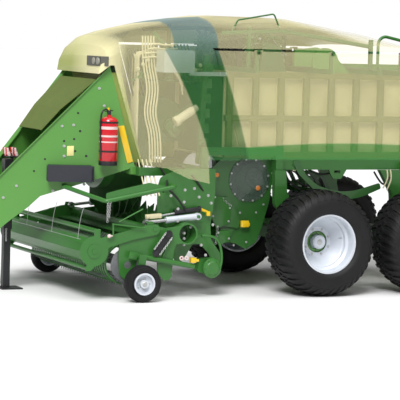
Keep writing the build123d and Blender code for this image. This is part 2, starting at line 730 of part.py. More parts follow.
def knotter_cover():
    """Drive cover beside the knotters: a casing, a round lid and a slanted sheet."""
    deck = chamber_high + seat
    outer = chamber_half_width + chamber_wall + rib_depth
    casing = side_plate([(-139, deck + 60), (-139, 2455, 40), (120, 2485, 60), (210, 2440), (210, deck + 60)],
                        -outer + 14, -outer + 60)
    slanted = [(180, deck - 20), (180, 2466, 40), (270, 2458, 60), (516, deck - 20)]
    sheet = side_plate(slanted, -outer + 24, -outer + 54)
    lid = cross_bar(205, deck + 104, 150, -outer, -outer + 34)
    below = block((0, 600), (-outer - 10, -outer + 80), (deck - 200, deck))
    return joined([casing, sheet, lid]) - below


def knotter_fans():
    """Two open fans that blow the knotters clean."""
    z = chamber_high + 300
    x = knotter_x - 300
    pieces = []
    for y in (-360, 360):
        pieces.append(cross_bar(x, z, 50, y - 40, y + 40))
        for k in range(8):
            blade = block((x + 40, x + 135), (y - 34, y + 34), (z - 3, z + 3))
            pieces.append(Pos(x, y, z) * Rot(0, 45 * k, 0) * Pos(-x, -y, -z) * blade)
    pieces.append(cross_bar(x, z, 22, -480, 480))
    for y in (-500, 480):
        pieces.append(block((x - 30, x + 30), (y, y + 20), (chamber_high + seat, z + 40)))
    return joined(pieces)


# one curved arm of the yoke, as (x, z, corner radius)
yoke_arm = [(-150, 1330, 20), (-66, 1330, 20), (10, 1185, 120), (150, 1075, 200), (460, 985, 700),
            (866, 1100, 20), (886, 1040, 20), (520, 900, 600), (110, 1030, 200), (-70, 1190, 120)]
# one needle, in the same way
needle_outline = [(378, 990), (424, 990), (330, 1170, 120), (120, 1222), (120, 1212), (300, 1140, 100)]


def needle_yoke():
    """The yoke below the chamber: two curved arms, a beam across and six needles."""
    pieces = []
    arm_y = rail_inner + rail_width + gap
    for side in (-1, 1):
        pieces.append(side_plate(yoke_arm, *sorted((side * arm_y, side * (arm_y + 8)))))
        stub = sorted((side * (rail_inner + rail_width), side * (arm_y + 2)))
        pieces.append(cross_bar(-110, 1290, 26, *stub))
    pieces.append(block((370, 430), (-arm_y - 4, arm_y + 4), (940, 1000)))
    for y in knotter_places:
        pieces.append(side_plate(needle_outline, y - 8, y + 8))
    return joined(pieces)


# ----------------------------------------------------------------- hood, panels
# stations along the hood: x, half width, top, height of the crown above the sides
hood_stations = [(-2240, 585, 2235, 60), (-2222, 600, 2345, 100), (-2170, 615, 2455, 130),
                 (-2070, 640, 2545, 160), (-1900, 730, 2600, 220), (-1640, 930, 2655, 270),
                 (-1300, body_half_width, 2712, 300),
                 (-830, body_half_width, 2776, 310), (-200, body_half_width, 2770, 290),
                 (500, body_half_width, 2650, 160), (1000, body_half_width, 2520, 56)]
crown_steps = 6
crown_roundness = 0.7
hood_low = 1100
hood_side_low = panel_high + 24
# front edge of the side panels, from their lower to their upper corner
panel_front_low = -967
panel_front_high = -1290
# frames on the chamber: place along X, whether it carries hinges, whether it carries the roof's tubes
support_frames = [(-820, True, True), (0, True, False), (548, False, True), (790, True, False)]
hinge_places = [x for x, hinge, roof in support_frames if hinge]
# bar that stands up through the roof on the left, as (x, z), and its distance from the middle
grab_line = [(-1015, 2622), (-944, 2742), (-552, 2811), (-480, 2655)]
grab_radius = 8
roof_tube_y = 1000


def crown_line(half, top, crown, inset):
    """Half of a cross-section's upper line, from its side to its middle, as (y, z)."""
    points = []
    for i in range(crown_steps):
        a = radians(90 * i / crown_steps)
        rise = crown * sin(a) ** crown_roundness
        points.append(((half - inset) * cos(a) ** crown_roundness, top - inset - crown + rise))
    return points + [(0, top - inset)]


def hood_section(x, half, top, crown, inset):
    """One cross-section: upright sides and a crowned roof."""
    points = [(half - inset, hood_low - inset)] + crown_line(half, top, crown, inset)
    points += [(-y, z) for y, z in reversed(points[:-1])]
    return make_face(Polyline([(x, y, z) for y, z in points], close=True))


def roof_under(x, y):
    """Height of the hood's inner face at a place."""
    for first, second in zip(hood_stations, hood_stations[1:]):
        if first[0] <= x <= second[0]:
            share = (x - first[0]) / (second[0] - first[0])
            ends = [crown_line(*station[1:], shell_wall) for station in (first, second)]
            line = [(p[0] + share * (q[0] - p[0]), p[1] + share * (q[1] - p[1])) for p, q in zip(*ends)]
    for outer, inner in zip(line, line[1:]):
        if inner[0] <= y <= outer[0]:
            return outer[1] + (inner[1] - outer[1]) * (outer[0] - y) / (outer[0] - inner[0])


def hood():
    """A thin shell: nose, flanks and roof, open below and behind."""
    outer = loft([hood_section(*station, 0) for station in hood_stations], ruled=True)
    inside = [(x + (shell_wall if i == 0 else 0), h, t, c) for i, (x, h, t, c) in enumerate(hood_stations)]
    inside[-1] = (hood_stations[-1][0] + 1,) + hood_stations[-1][1:]
    inner = loft([hood_section(*station, shell_wall) for station in inside], ruled=True)
    shell = outer - inner
    wide = body_half_width + 50
    flank_rear = panel_front_low - 12
    below_nose = [(-2600, 900), (-2600, 2168), (-2250, 2168), (drawbar_rear - 20, 2262),
                  (drawbar_rear + 20, 2262), (-1835, 1290), (-1632, 1268), (-1470, 1180), (-1310, 1140),
                  (-1322, panel_low - 7),
                  (flank_rear, panel_low - 7), (flank_rear, 900)]
    shell -= side_plate(below_nose, -wide, wide)
    slope = (panel_front_high - panel_front_low) / (panel_high - panel_low)
    edge = [(flank_rear + slope * (z - panel_low), z) for z in (1000, hood_side_low)]
    behind = [edge[0], edge[1], (1500, hood_side_low), (1500, 1000)]
    shell -= side_plate(behind, -wide, wide)
    grab = [(x, -roof_tube_y, z) for x, z in grab_line]
    return shell - bent_pipe(grab, grab_radius + 4, 30)


def front_cover():
    """A sheet between the drawbar's plates, below the nose."""
    top, low = (-2240, 2120), (-2740, 1610)
    sheet = [(top[0], top[1]), (-2560, 1830), (low[0], low[1]), (low[0] + 14, low[1] - 8), (-2550, 1815),
             (top[0] + 12, top[1] - 10)]
    clear = flange_width - 20 + 3
    corners = ((-2900, -1), (-2150, -1), (-2150, 1), (-2900, 1))
    ends = [(x, side * (drawbar_y(x) - clear)) for x, side in corners]
    between = extrude(make_face(Polyline([(x, y, 0) for x, y in ends], close=True)), amount=3000)
    return side_plate(sheet, -600, 600) & between


hinge_y = body_half_width - panel_thickness / 2
hinge_z = panel_high + hinge_pin


def side_panel(side):
    """One long side panel, hung along its upper edge."""
    outline = [(panel_front_low, panel_low), (panel_front_high, panel_high), (960, panel_high), (1250, 2260),
               (panel_rear, 2260), (panel_rear, panel_low)]
    y = sorted((side * (body_half_width - panel_thickness), side * body_half_width))
    panel = side_plate(outline, *y)
    notch = (side * hinge_y - 20, side * hinge_y + 20)
    ear = (side * hinge_y - 9, side * hinge_y + 9)
    for x in hinge_places:
        panel -= block((x - 25, x + 25), notch, (panel_high - 30, panel_high + 1))
        for a, b in ((x - 45, x - 25), (x + 25, x + 45)):
            panel += block((a, b), ear, (panel_high - 10, hinge_z + 6))
        panel += rod((x - 40, side * hinge_y, hinge_z), (x + 40, side * hinge_y, hinge_z), hinge_pin)
    return panel


# ------------------------------------------------------------ posts and fittings
def hood_supports():
    """Frames and lengthwise tubes on the chamber that carry the hood and the panels."""
    pieces = []
    reach = body_half_width - panel_thickness - 14
    top = chamber_high + seat
    tube_line = [(-1120, 2610), (-446, 2644), (support_frames[2][0], 2505)]
    for x, hinge, roof in support_frames:
        pieces.append(block((x - 18, x + 18), (-reach, reach), (top, top + 50)))
        for side in (-1, 1):
            if hinge:
                post = sorted((side * (reach - 34), side * reach))
                pieces.append(block((x - 15, x + 15), post, (top, hinge_z + 10)))
                lug = sorted((side * (reach - 34), side * (hinge_y + 8)))
                pieces.append(block((x - 15, x + 15), lug, (hinge_z - 10, hinge_z + 10)))
            if roof:
                height = min(roof_under(edge, roof_tube_y + 18) for edge in (x - 18, x + 18)) - seat
                post = sorted((side * (roof_tube_y - 18), side * (roof_tube_y + 18)))
                pieces.append(block((x - 18, x + 18), post, (top + 40, height)))
    for side in (-1, 1):
        pieces.append(bent_pipe([(x, side * roof_tube_y, z) for x, z in tube_line], 20, 1200))
    pieces.append(bent_pipe([(x, -roof_tube_y, z) for x, z in grab_line], grab_radius, 30))
    bore = rod((-2000, hinge_y, hinge_z), (2000, hinge_y, hinge_z), hinge_pin + bearing_gap)
    return joined(pieces) - bore - mirrored(bore)


def rear_rail():
    """A platform and a handrail over the rear of the chamber."""
    top = chamber_high + seat
    pieces = [block((1350, 2450), (-700, 700), (top, top + 30))]
    for side in (-1, 1):
        y = side * 690
        path = [(1548, y, top + 20), (1548, y, 2615), (2420, y, 2440), (2420, y, top + 20)]
        beam_y = sorted((side * 650, side * 700))
        pieces.append(block((support_frames[-1][0] + 26, 2450), beam_y, (top, top + 68)))
        pieces.append(bent_pipe(path, 17, 90))
    return joined(pieces)


def rear_lamps():
    """A bar behind the chamber's side with two lamp blocks."""
    pieces = []
    for side in (-1, 1):
        y = sorted((side * (rail_inner + rail_width), side * 1180))
        pieces.append(block((chamber_rear - 170, chamber_rear - 110), y, (frame_low + 20, frame_low + 80)))
        lamp = sorted((side * 900, side * 1180))
        pieces.append(block((chamber_rear - 112, chamber_rear - 60), lamp, (frame_low, frame_low + 120)))
    return Compound(children=[joined(pieces[:2]), joined(pieces[2:])])


def control_box():
    """Electric box under the hood on the left."""
    box = block((-1620, -1290), (-760, -560), (2205, 2425))
    return joined([box, block((-1300, chamber_front - seat), (-672, -640), (2175, 2215))])


def pipe_bundle():
    """Upright oil pipes behind the drawbar's left plate."""
    pieces = []
    for i in range(5):
        y = -500 + i * 34
        x = -1790
        pieces.append(bent_pipe([(x, y, 1262 + seat), (x, y, 2380), (x + 240, y, 2420)], 13, 60))
    return Compound(children=pieces)


def fire_extinguisher():
    """A red bottle strapped to the left plate."""
    radius, x, z = 78, -2130, 1590
    bottle = Pos(on_plate(x, z, radius + 12)) * Cylinder(radius, 440)
    neck = Pos(on_plate(x, z + 240, radius + 12)) * Cylinder(32, 60)
    strap = Pos(on_plate(x, z, 20 + seat)) * Rot(0, 0, plate_turn) * Box(60, 40, 80)
    return joined([bottle, neck, strap])


def toolbox():
    """A long box on the left plate."""
    depth = 150
    return Pos(on_plate(-2470, 1190, depth / 2 + seat)) * Rot(0, 0, plate_turn) * Box(430, depth, 160)


def side_guards():
    """Tubes with a sheet that shield the pick-up's top, left and right."""
    start = on_plate(-2520, 1062, seat)
    turn = on_plate(-2520, 1062, 90)
    y = 40 - pickup_half_width
    points = [(start.X, start.Y, start.Z), (turn.X, turn.Y, turn.Z), (-2330, y, 960), (-1600, y, 1100),
              (-1600, -side_y - side_thick - seat, 1100)]
    tube = bent_pipe(points, 22, 40)
    shield = [(-2330, 960), (-1640, 1093), (-1880, 1140, 20), (-2200, 1072), (-2330, 1040, 20)]
    sheet = side_plate(shield, y - 3, y + 3)
    return Compound(children=both(tube + sheet))


# ----------------------------------------------------------------------- chute
def bale_chute():
    """A roller chute that folds up behind the chamber."""
    half = chamber_half_width - 10
    depth = (-chute_half_height, chute_half_height)
    pieces = []
    for side in (-1, 1):
        y = sorted((side * (half - 50), side * half))
        pieces.append(block((-20, chute_length), y, depth))
    pieces.append(block((chute_length - 60, chute_length), (-half, half), depth))
    for k in range(5):
        pieces.append(cross_bar(60 + k * 200, 20, 38, -half + 30, half - 30))
    bore = cross_bar(0, 0, 22 + bearing_gap, -half - 10, half + 10)
    frame = joined(pieces) - bore
    return Pos(chute_pivot_x, 0, chute_pivot_z) * Rot(0, chute_slope, 0) * frame


def chute_hinge():
    """Lugs and the pin that carry the chute."""
    half = chamber_half_width - 10
    pieces = [cross_bar(chute_pivot_x, chute_pivot_z, 22, -half - 40, half + 40)]
    for side in (-1, 1):
        y = sorted((side * (half + gap), side * (half + gap + 34)))
        pieces.append(block((rail_rear, chute_pivot_x + 40), y, (chute_pivot_z - 40, frame_low + 60)))
        foot = sorted((side * (half + gap), side * (rail_inner + rail_width)))
        pieces.append(block((rail_rear, rail_rear + 20), foot, (frame_low, frame_low + 100)))
    return joined(pieces)


# ---------------------------------------------------------------------- export
def wheel_at(shape, x, side):
    """A wheel piece put on its axle."""
    return Pos(x, side * half_track, axle_z) * shape


def all_pieces():
    """Every piece by its node name."""
    pieces = {
        "drawbar": drawbar(),
        "hitch_eye": hitch_eye(),
        "jack_tube": jack_tube(),
        "jack_leg": jack_leg(),
        "flywheel": flywheel(),
        "main_gearbox": main_gearbox(),
        "main_frame": main_frame(),
        "tandem_frame": tandem_frame(),
        "bale_chamber": bale_chamber(),
        "plunger": plunger(),
        "feed_housing": feed_housing(),
        "housing_covers": housing_covers(),
        "feeder_rotor": feeder_rotor(),
        "pickup_frame": joined([pickup_frame()] + guard_pins()),
        "tine_reel": tine_reel(),
        "wind_guard": wind_guard(),
        "crop_roller": crop_roller(),
        "knotter_table": knotter_table(),
        "knotter_cover": knotter_cover(),
        "knotter_fans": knotter_fans(),
        "needle_yoke": needle_yoke(),
        "hood": hood(),
        "front_cover": front_cover(),
        "hood_supports": hood_supports(),
        "rear_rail": rear_rail(),
        "rear_lamps": rear_lamps(),
        "control_box": control_box(),
        "pipe_bundle": pipe_bundle(),
        "fire_extinguisher": fire_extinguisher(),
        "toolbox": toolbox(),
        "side_guards": side_guards(),
        "bale_chute": bale_chute(),
        "chute_hinge": chute_hinge(),
    }
    left_tyre = tyre()
    for side, side_name in ((-1, "left"), (1, "right")):
        whole_tyre = left_tyre if side < 0 else mirrored(left_tyre)
        pieces["side_panel_" + side_name] = side_panel(side)
        pieces["lift_barrel_" + side_name] = placed_cylinder(lift_barrel(), side)
        pieces["lift_rod_" + side_name] = placed_cylinder(lift_rod(), side)
        pieces["gauge_tyre_" + side_name] = Pos(gauge_x, side * gauge_y, gauge_radius) * gauge_tyre()
        pieces["gauge_rim_" + side_name] = Pos(gauge_x, side * gauge_y, gauge_radius) * gauge_rim(side)
        for x, axle in ((0, "front"), (axle_spacing, "rear")):
            pieces["tyre_" + axle + "_" + side_name] = wheel_at(whole_tyre, x, side)
            pieces["wheel_" + axle + "_" + side_name] = wheel_at(rim(side), x, side)
    return pieces


os.makedirs("parts", exist_ok=True)
for name, shape in all_pieces().items():
    export_step(shape.moved(Location((-middle_x, 0, 0))), "parts/" + name + ".step")
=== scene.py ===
import json
from math import cos, pi, radians, sin
import bmesh
import bpy
from mathutils import Matrix, Vector


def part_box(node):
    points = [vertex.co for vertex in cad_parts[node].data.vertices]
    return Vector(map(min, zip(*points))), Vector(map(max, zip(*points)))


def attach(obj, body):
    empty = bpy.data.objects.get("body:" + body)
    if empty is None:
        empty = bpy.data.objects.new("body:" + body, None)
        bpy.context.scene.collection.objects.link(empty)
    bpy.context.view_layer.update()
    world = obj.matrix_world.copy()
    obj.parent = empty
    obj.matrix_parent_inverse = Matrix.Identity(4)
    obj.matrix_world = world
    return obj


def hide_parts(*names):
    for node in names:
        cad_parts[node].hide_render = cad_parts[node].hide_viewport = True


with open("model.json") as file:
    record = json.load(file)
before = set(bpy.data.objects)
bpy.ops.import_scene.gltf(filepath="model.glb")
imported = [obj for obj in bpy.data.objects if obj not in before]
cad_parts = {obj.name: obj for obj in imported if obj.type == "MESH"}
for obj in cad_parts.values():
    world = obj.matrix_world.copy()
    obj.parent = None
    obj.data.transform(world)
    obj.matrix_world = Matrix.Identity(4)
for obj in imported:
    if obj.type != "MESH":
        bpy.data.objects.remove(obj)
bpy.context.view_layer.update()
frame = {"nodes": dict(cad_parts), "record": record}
slot_of = {part["node"]: part["material_slot"] for part in frame["record"]["subparts"]}

# %% [markdown]
# # The places that everything else starts from
# The model is a towed square baler.  -X is the direction of travel and the left
# side is at -Y.  Tyres, hubs, the bottle and the toolbox's lid take their places from
# the frame's boxes, so they follow the model.  Smaller pieces are counted in
# millimetres from the front axle, because they sit on faces that no box gives.

# %% The front wheel
def middle(node):
    """The middle of a node's box."""
    low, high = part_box(node)
    return (low + high) / 2


front_wheel = middle("wheel_front_left")
print("front wheel", front_wheel)

# %% [markdown]
# ## Camera
# A long lens from far away keeps the perspective gentle.  Its matrix is written
# from three angles, so that each of them can be changed by itself.

# %% The camera
def make_camera():
    """A long lens that looks at the machine's left side, a little from its front."""
    turn, tilt, roll = radians(24.243), radians(4.575), radians(1.6626)
    forward = Vector((sin(turn) * cos(tilt), cos(turn) * cos(tilt), -sin(tilt)))
    level_right = Vector((cos(turn), -sin(turn), 0))
    level_up = level_right.cross(forward)
    right = level_right * cos(roll) + level_up * sin(roll)
    up = level_up * cos(roll) - level_right * sin(roll)
    data = bpy.data.cameras.new("camera")
    data.sensor_width = 36
    data.lens = 212.567
    data.clip_end = 400
    camera = bpy.data.objects.new("camera", data)
    place = Vector((front_wheel.x - 10.8405, -22.1862, 2.8203))
    facing = Matrix((right, up, -forward)).transposed()
    camera.matrix_world = Matrix.Translation(place) @ facing.to_4x4()
    bpy.context.scene.collection.objects.link(camera)
    bpy.context.scene.camera = camera


make_camera()

# %% [markdown]
# ## Floor and light
# The floor is pale, and the light comes from two soft suns, one from the camera's
# left and one from above.  A sun doesn't grow weaker with distance, so the floor
# stays white to the horizon.  The world is white to the camera and darker to the
# surfaces, so that shapes keep their shade.

# %% The floor
def make_floor():
    """A wide pale floor, which isn't part of the object."""
    mesh = bpy.data.meshes.new("floor")
    shape = bmesh.new()
    bmesh.ops.create_grid(shape, x_segments=1, y_segments=1, size=120)
    shape.to_mesh(mesh)
    shape.free()
    floor = bpy.data.objects.new("floor", mesh)
    bpy.context.scene.collection.objects.link(floor)
    material = bpy.data.materials.new("floor")
    material.use_nodes = True
    shader = material.node_tree.nodes["Principled BSDF"]
    shader.inputs["Base Color"].default_value = (0.76, 0.76, 0.76, 1)
    shader.inputs["Roughness"].default_value = 0.9
    shader.inputs["Specular IOR Level"].default_value = 0.1
    mesh.materials.append(material)


make_floor()
print("floor done")


# %% The suns and the world
def make_soft_sun(name, towards, strength, angle):
    """An even light from far away; the wider its angle in degrees, the softer its shadows."""
    data = bpy.data.lights.new(name, "SUN")
    data.energy = strength
    data.angle = radians(angle)
    light = bpy.data.objects.new(name, data)
    light.rotation_mode = "QUATERNION"
    light.rotation_quaternion = Vector(towards).to_track_quat("-Z", "Y")
    bpy.context.scene.collection.objects.link(light)


def white(tree, strength):
    """An even white background."""
    made = tree.nodes.new("ShaderNodeBackground")
    made.inputs["Color"].default_value = (1, 1, 1, 1)
    made.inputs["Strength"].default_value = strength
    return made.outputs[0]


def make_world():
    """White behind the object, and a softer white light from all round."""
    world = bpy.data.worlds.new("studio")
    world.use_nodes = True
    tree = world.node_tree
    tree.nodes.clear()
    ray = tree.nodes.new("ShaderNodeLightPath")
    mix = tree.nodes.new("ShaderNodeMixShader")
    out = tree.nodes.new("ShaderNodeOutputWorld")
    tree.links.new(ray.outputs["Is Camera Ray"], mix.inputs["Fac"])
    tree.links.new(white(tree, 0.34), mix.inputs[1])
    tree.links.new(white(tree, 1.0), mix.inputs[2])
    tree.links.new(mix.outputs[0], out.inputs["Surface"])
    bpy.context.scene.world = world


make_world()
make_soft_sun("key", (0.45, 0.62, -0.75), strength=3.2, angle=26)
make_soft_sun("top", (-0.1, 0.25, -1.0), strength=1.3, angle=50)
bpy.context.scene.view_settings.view_transform = "Standard"
print("light done")

# %% [markdown]
# ## A small kit for materials
# A `Field` wraps one output of a material's nodes, so that the maths of a pattern
# reads as plain sums.  A `Paint` is one material: every node other than its shader
# comes from `node`.

# %% A number that varies over a surface
def worked_out(operation, swapped=False):
    """A method of a field that gives a new field; swapped puts the other number first."""
    def method(field, other):
        pair = (other, field) if swapped else (field, other)
        return field.paint.sum(operation, *pair)
    return method


class Field:
    """A number that varies over a surface."""

    __add__, __radd__ = worked_out("ADD"), worked_out("ADD", swapped=True)
    __sub__, __rsub__ = worked_out("SUBTRACT"), worked_out("SUBTRACT", swapped=True)
    __mul__, __rmul__ = worked_out("MULTIPLY"), worked_out("MULTIPLY", swapped=True)
    __truediv__, __rtruediv__ = worked_out("DIVIDE"), worked_out("DIVIDE", swapped=True)
    larger, smaller = worked_out("MAXIMUM"), worked_out("MINIMUM")

    def __init__(self, paint, socket):
        self.paint = paint
        self.socket = socket

    def above(self, edge, blur=0.002):
        """0 below the edge and 1 above it, with a soft step."""
        return ((self - edge) / blur + 0.5).clamped()

    def clamped(self):
        """The field, kept between 0 and 1."""
        return self.smaller(1.0).larger(0.0)

    def size(self):
        """How large the field is, whatever its sign."""
        return self.paint.sum("ABSOLUTE", self)


# %% One procedural material
class Paint:
    """One procedural material round a Principled shader."""

    def __init__(self, name, **fixed):
        self.material = bpy.data.materials.new(name)
        self.material.use_nodes = True
        self.tree = self.material.node_tree
        self.shader = self.tree.nodes["Principled BSDF"]
        for socket, value in fixed.items():
            self.shader.inputs[socket.replace("_", " ")].default_value = value
        self.place = self.node("TexCoord").outputs["Object"]
        axes = self.node("SeparateXYZ", Vector=self.place).outputs
        self.x, self.y, self.z = (Field(self, axes[axis]) for axis in "XYZ")

    def node(self, kind, _set=None, **inputs):
        """Makes a node, sets its options, and fills its inputs."""
        made = self.tree.nodes.new("ShaderNode" + kind)
        for option, value in (_set or {}).items():
            setattr(made, option, value)
        for name, value in inputs.items():
            self.fill(made.inputs[name.replace("_", " ")], value)
        return made

    def fill(self, socket, value):
        """Links a field or an output to a socket, or sets a plain value."""
        if isinstance(value, Field):
            value = value.socket
        if isinstance(value, bpy.types.NodeSocket):
            self.tree.links.new(value, socket)
        else:
            socket.default_value = value

    def sum(self, operation, *values):
        """A field worked out from other fields and plain numbers."""
        made = self.node("Math", {"operation": operation})
        for socket, value in zip(made.inputs, values):
            self.fill(socket, value)
        return Field(self, made.outputs[0])

    def noise(self, scale, detail, place=None):
        """Cloudy noise from 0 to 1; the scale is in patches per metre."""
        made = self.node("TexNoise", Vector=place or self.place, Scale=scale, Detail=detail)
        return Field(self, made.outputs["Fac"])

    def stretched(self, factors):
        """The place with each axis scaled by itself."""
        made = self.node("VectorMath", {"operation": "MULTIPLY"})
        self.fill(made.inputs[0], self.place)
        made.inputs[1].default_value = factors
        return made.outputs[0]

    def blend(self, share, first, second):
        """A colour between two; each is a colour or an output."""
        made = self.node("Mix", {"data_type": "RGBA"})
        self.fill(made.inputs["Factor"], share)
        for socket, value in ((made.inputs[6], first), (made.inputs[7], second)):
            self.fill(socket, value if isinstance(value, bpy.types.NodeSocket) else tuple(value) + (1,))
        return made.outputs[2]

    def colour(self, value):
        """Sets the surface's colour."""
        self.fill(self.shader.inputs["Base Color"], value)

    def rough(self, value):
        """Sets how dull the surface is, from 0 to 1."""
        self.fill(self.shader.inputs["Roughness"], value)

    def bump(self, height, distance):
        """Small unevenness, so many metres deep."""
        made = self.node("Bump", Height=height, Distance=distance)
        self.fill(self.shader.inputs["Normal"], made.outputs["Normal"])


print("material kit ready")

# %% [markdown]
# ## Materials
# Each function makes one finish.  Farm paint is glossy with a little orange peel,
# paler dust in broad patches, and a rougher film low down where mud splashes.

# %% Paints, plastics and enamel
def shaded(colour, share):
    """A colour with each of its channels scaled by the same share."""
    return tuple(channel * share for channel in colour)


def farm_paint(name, colour, dust, gloss=0.30):
    """Glossy enamel with faint orange peel and dust."""
    paint = Paint(name, Coat_Weight=0.35, Coat_Roughness=0.12, Specular_IOR_Level=0.4)
    cloud = paint.noise(2.2, 5)
    fine = paint.noise(38, 3)
    low = (0.9 - paint.z).clamped()
    film = ((cloud - 0.5) * 1.6).clamped() * (0.06 + low * 0.12) + (fine - 0.5) * 0.03
    ground = paint.blend(paint.noise(0.8, 2), shaded(colour, 0.80), colour)
    paint.colour(paint.blend(film.clamped(), ground, dust))
    paint.rough(gloss + film * 0.9 + (fine - 0.5) * 0.06)
    paint.bump(paint.noise(240, 2) * 0.6 + paint.noise(60, 2) * 0.4, 0.0006)
    return paint.material


def satin_black(name):
    """Black paint with worn, slightly paler patches."""
    paint = Paint(name, Specular_IOR_Level=0.45)
    wear = ((paint.noise(18, 5) - 0.55) * 3).clamped()
    paint.colour(paint.blend(wear * 0.35, (0.014, 0.014, 0.016), (0.07, 0.07, 0.07)))
    paint.rough(0.42 + wear * 0.25)
    paint.bump(paint.noise(160, 3), 0.0005)
    return paint.material


def moulded(name, colour, gloss=0.5):
    """A fine-grained moulded plastic or rubber."""
    paint = Paint(name)
    grain = paint.noise(420, 2)
    paint.colour(paint.blend(paint.noise(9, 3), colour, shaded(colour, 0.82)))
    paint.rough(gloss + grain * 0.12)
    paint.bump(grain, 0.0004)
    return paint.material


def enamel(name, colour):
    """A plain glossy enamel."""
    paint = Paint(name, Coat_Weight=0.6, Coat_Roughness=0.06)
    cloud = paint.noise(8, 3)
    paint.colour(paint.blend(cloud, colour, shaded(colour, 0.78)))
    paint.rough(0.18 + cloud * 0.08)
    return paint.material


# %% Clear plastic, metals and rubber
def clear_cover(name):
    """A clear moulded cover with a dark green tint."""
    paint = Paint(name, Coat_Weight=0.6, Coat_Roughness=0.05)
    cloud = paint.noise(9, 3)
    paint.colour(paint.blend(cloud, (0.045, 0.085, 0.055), (0.10, 0.15, 0.11)))
    paint.rough(0.10 + cloud * 0.1)
    paint.fill(paint.shader.inputs["Alpha"], 0.42 + cloud * 0.12)
    return paint.material


def bare_steel(name, colour, metallic):
    """Drawn or machined steel, a little dull."""
    paint = Paint(name, Metallic=metallic)
    streak = paint.noise(60, 3, place=paint.stretched((1, 6, 1)))
    paint.colour(paint.blend(streak, colour, shaded(colour, 0.6)))
    paint.rough(0.30 + streak * 0.2)
    return paint.material


def wheel_silver(name):
    """Silver wheel lacquer with a dusty film in the dish."""
    paint = Paint(name, Metallic=0.15, Coat_Weight=0.3, Coat_Roughness=0.15)
    cloud = paint.noise(7, 5)
    flake = paint.noise(900, 1)
    paint.colour(paint.blend(cloud, (0.66, 0.70, 0.76), (0.54, 0.57, 0.62)))
    paint.rough(0.30 + cloud * 0.15 + flake * 0.05)
    paint.bump(flake, 0.0002)
    return paint.material


def tyre_rubber(name):
    """New rubber, black with a dull bloom in patches."""
    paint = Paint(name, Specular_IOR_Level=0.32)
    bloom = paint.noise(6, 5)
    grain = paint.noise(260, 3)
    paint.colour(paint.blend(bloom, (0.003, 0.003, 0.0035), (0.010, 0.010, 0.011)))
    paint.rough(0.50 + bloom * 0.2)
    paint.bump(grain, 0.0006)
    return paint.material


# %% [markdown]
# The bale chamber's ribs, rails and sheets are one node of the frame, so its paint tells
# them apart by how far out they stand.  That needs no second mesh.

# %% The bale chamber's paint
rib_height = 0.045


def chamber_paint(name, rib, sheet):
    """Green ribs and rails on paler sheets, told apart by how far out they stand."""
    paint = Paint(name, Specular_IOR_Level=0.3)
    cloud = paint.noise(1.6, 4)
    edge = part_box("bale_chamber")[1].y - rib_height
    proud = paint.y.size().above(edge, 0.01)
    ribs = paint.blend(cloud, rib, shaded(rib, 0.75))
    sheets = paint.blend(cloud, sheet, shaded(sheet, 0.80))
    paint.colour(paint.blend(proud, sheets, ribs))
    paint.rough(0.40 + cloud * 0.2)
    paint.bump(paint.noise(40, 3), 0.0008)
    return paint.material


# %% [markdown]
# The hood and the side panels are shown as a thin ghost, so that the works inside
# can be seen.  One slanted stripe runs over both: its two edges are curves that
# lean forward as they rise.  The same fields serve both shells, so that the stripe
# meets at the seam.

# %% The slanted stripe
shell_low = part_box("side_panel_left")[0].z
roof_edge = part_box("side_panel_left")[1].z
roof_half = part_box("hood")[1].y
stripe_height = 1.45
roof_lean = 0.26
# where each edge stands at its foot, how it leans, and how the lean grows
stripe_front, stripe_rear = (-1.291, 0.255, 0.279), (-0.868, 0.352, 0.160)


def along_from_axle(paint):
    """How far a point lies behind the front axle."""
    return paint.x - front_wheel.x


def leaning_edge(rise, foot, slope, growth):
    """How far along an edge lies that leans forward as it rises."""
    return foot - rise * slope - rise * rise * growth


def stripe_share(paint):
    """1 inside the slanted stripe and 0 outside it; over the roof it leans back again."""
    rise = (paint.z.smaller(roof_edge) - (shell_low - 0.106)) / stripe_height
    inwards = (roof_half - paint.y.size()).larger(0.0)
    back = inwards * roof_lean * (paint.z - roof_edge).above(0.0, 0.03)
    front = leaning_edge(rise, *stripe_front) + back
    rear = leaning_edge(rise, *stripe_rear) + back
    along = along_from_axle(paint)
    return (along - front).above(0.0, 0.012) * (rear - along).above(0.0, 0.012)


# %% The shells
cream_light, cream_deep = (0.92, 0.84, 0.52), (0.80, 0.76, 0.42)
stripe_low, stripe_top = (0.035, 0.150, 0.040), (0.26, 0.37, 0.34)
band_green = (0.060, 0.24, 0.055)
inner_olive = (0.38, 0.42, 0.13)
nose_line, band_start, panel_start = -1.98, -0.93, -0.985
far_cover, roof_cover, nose_cover, band_cover = 0.92, 0.64, 0.70, 0.28
stripe_alpha = 0.32


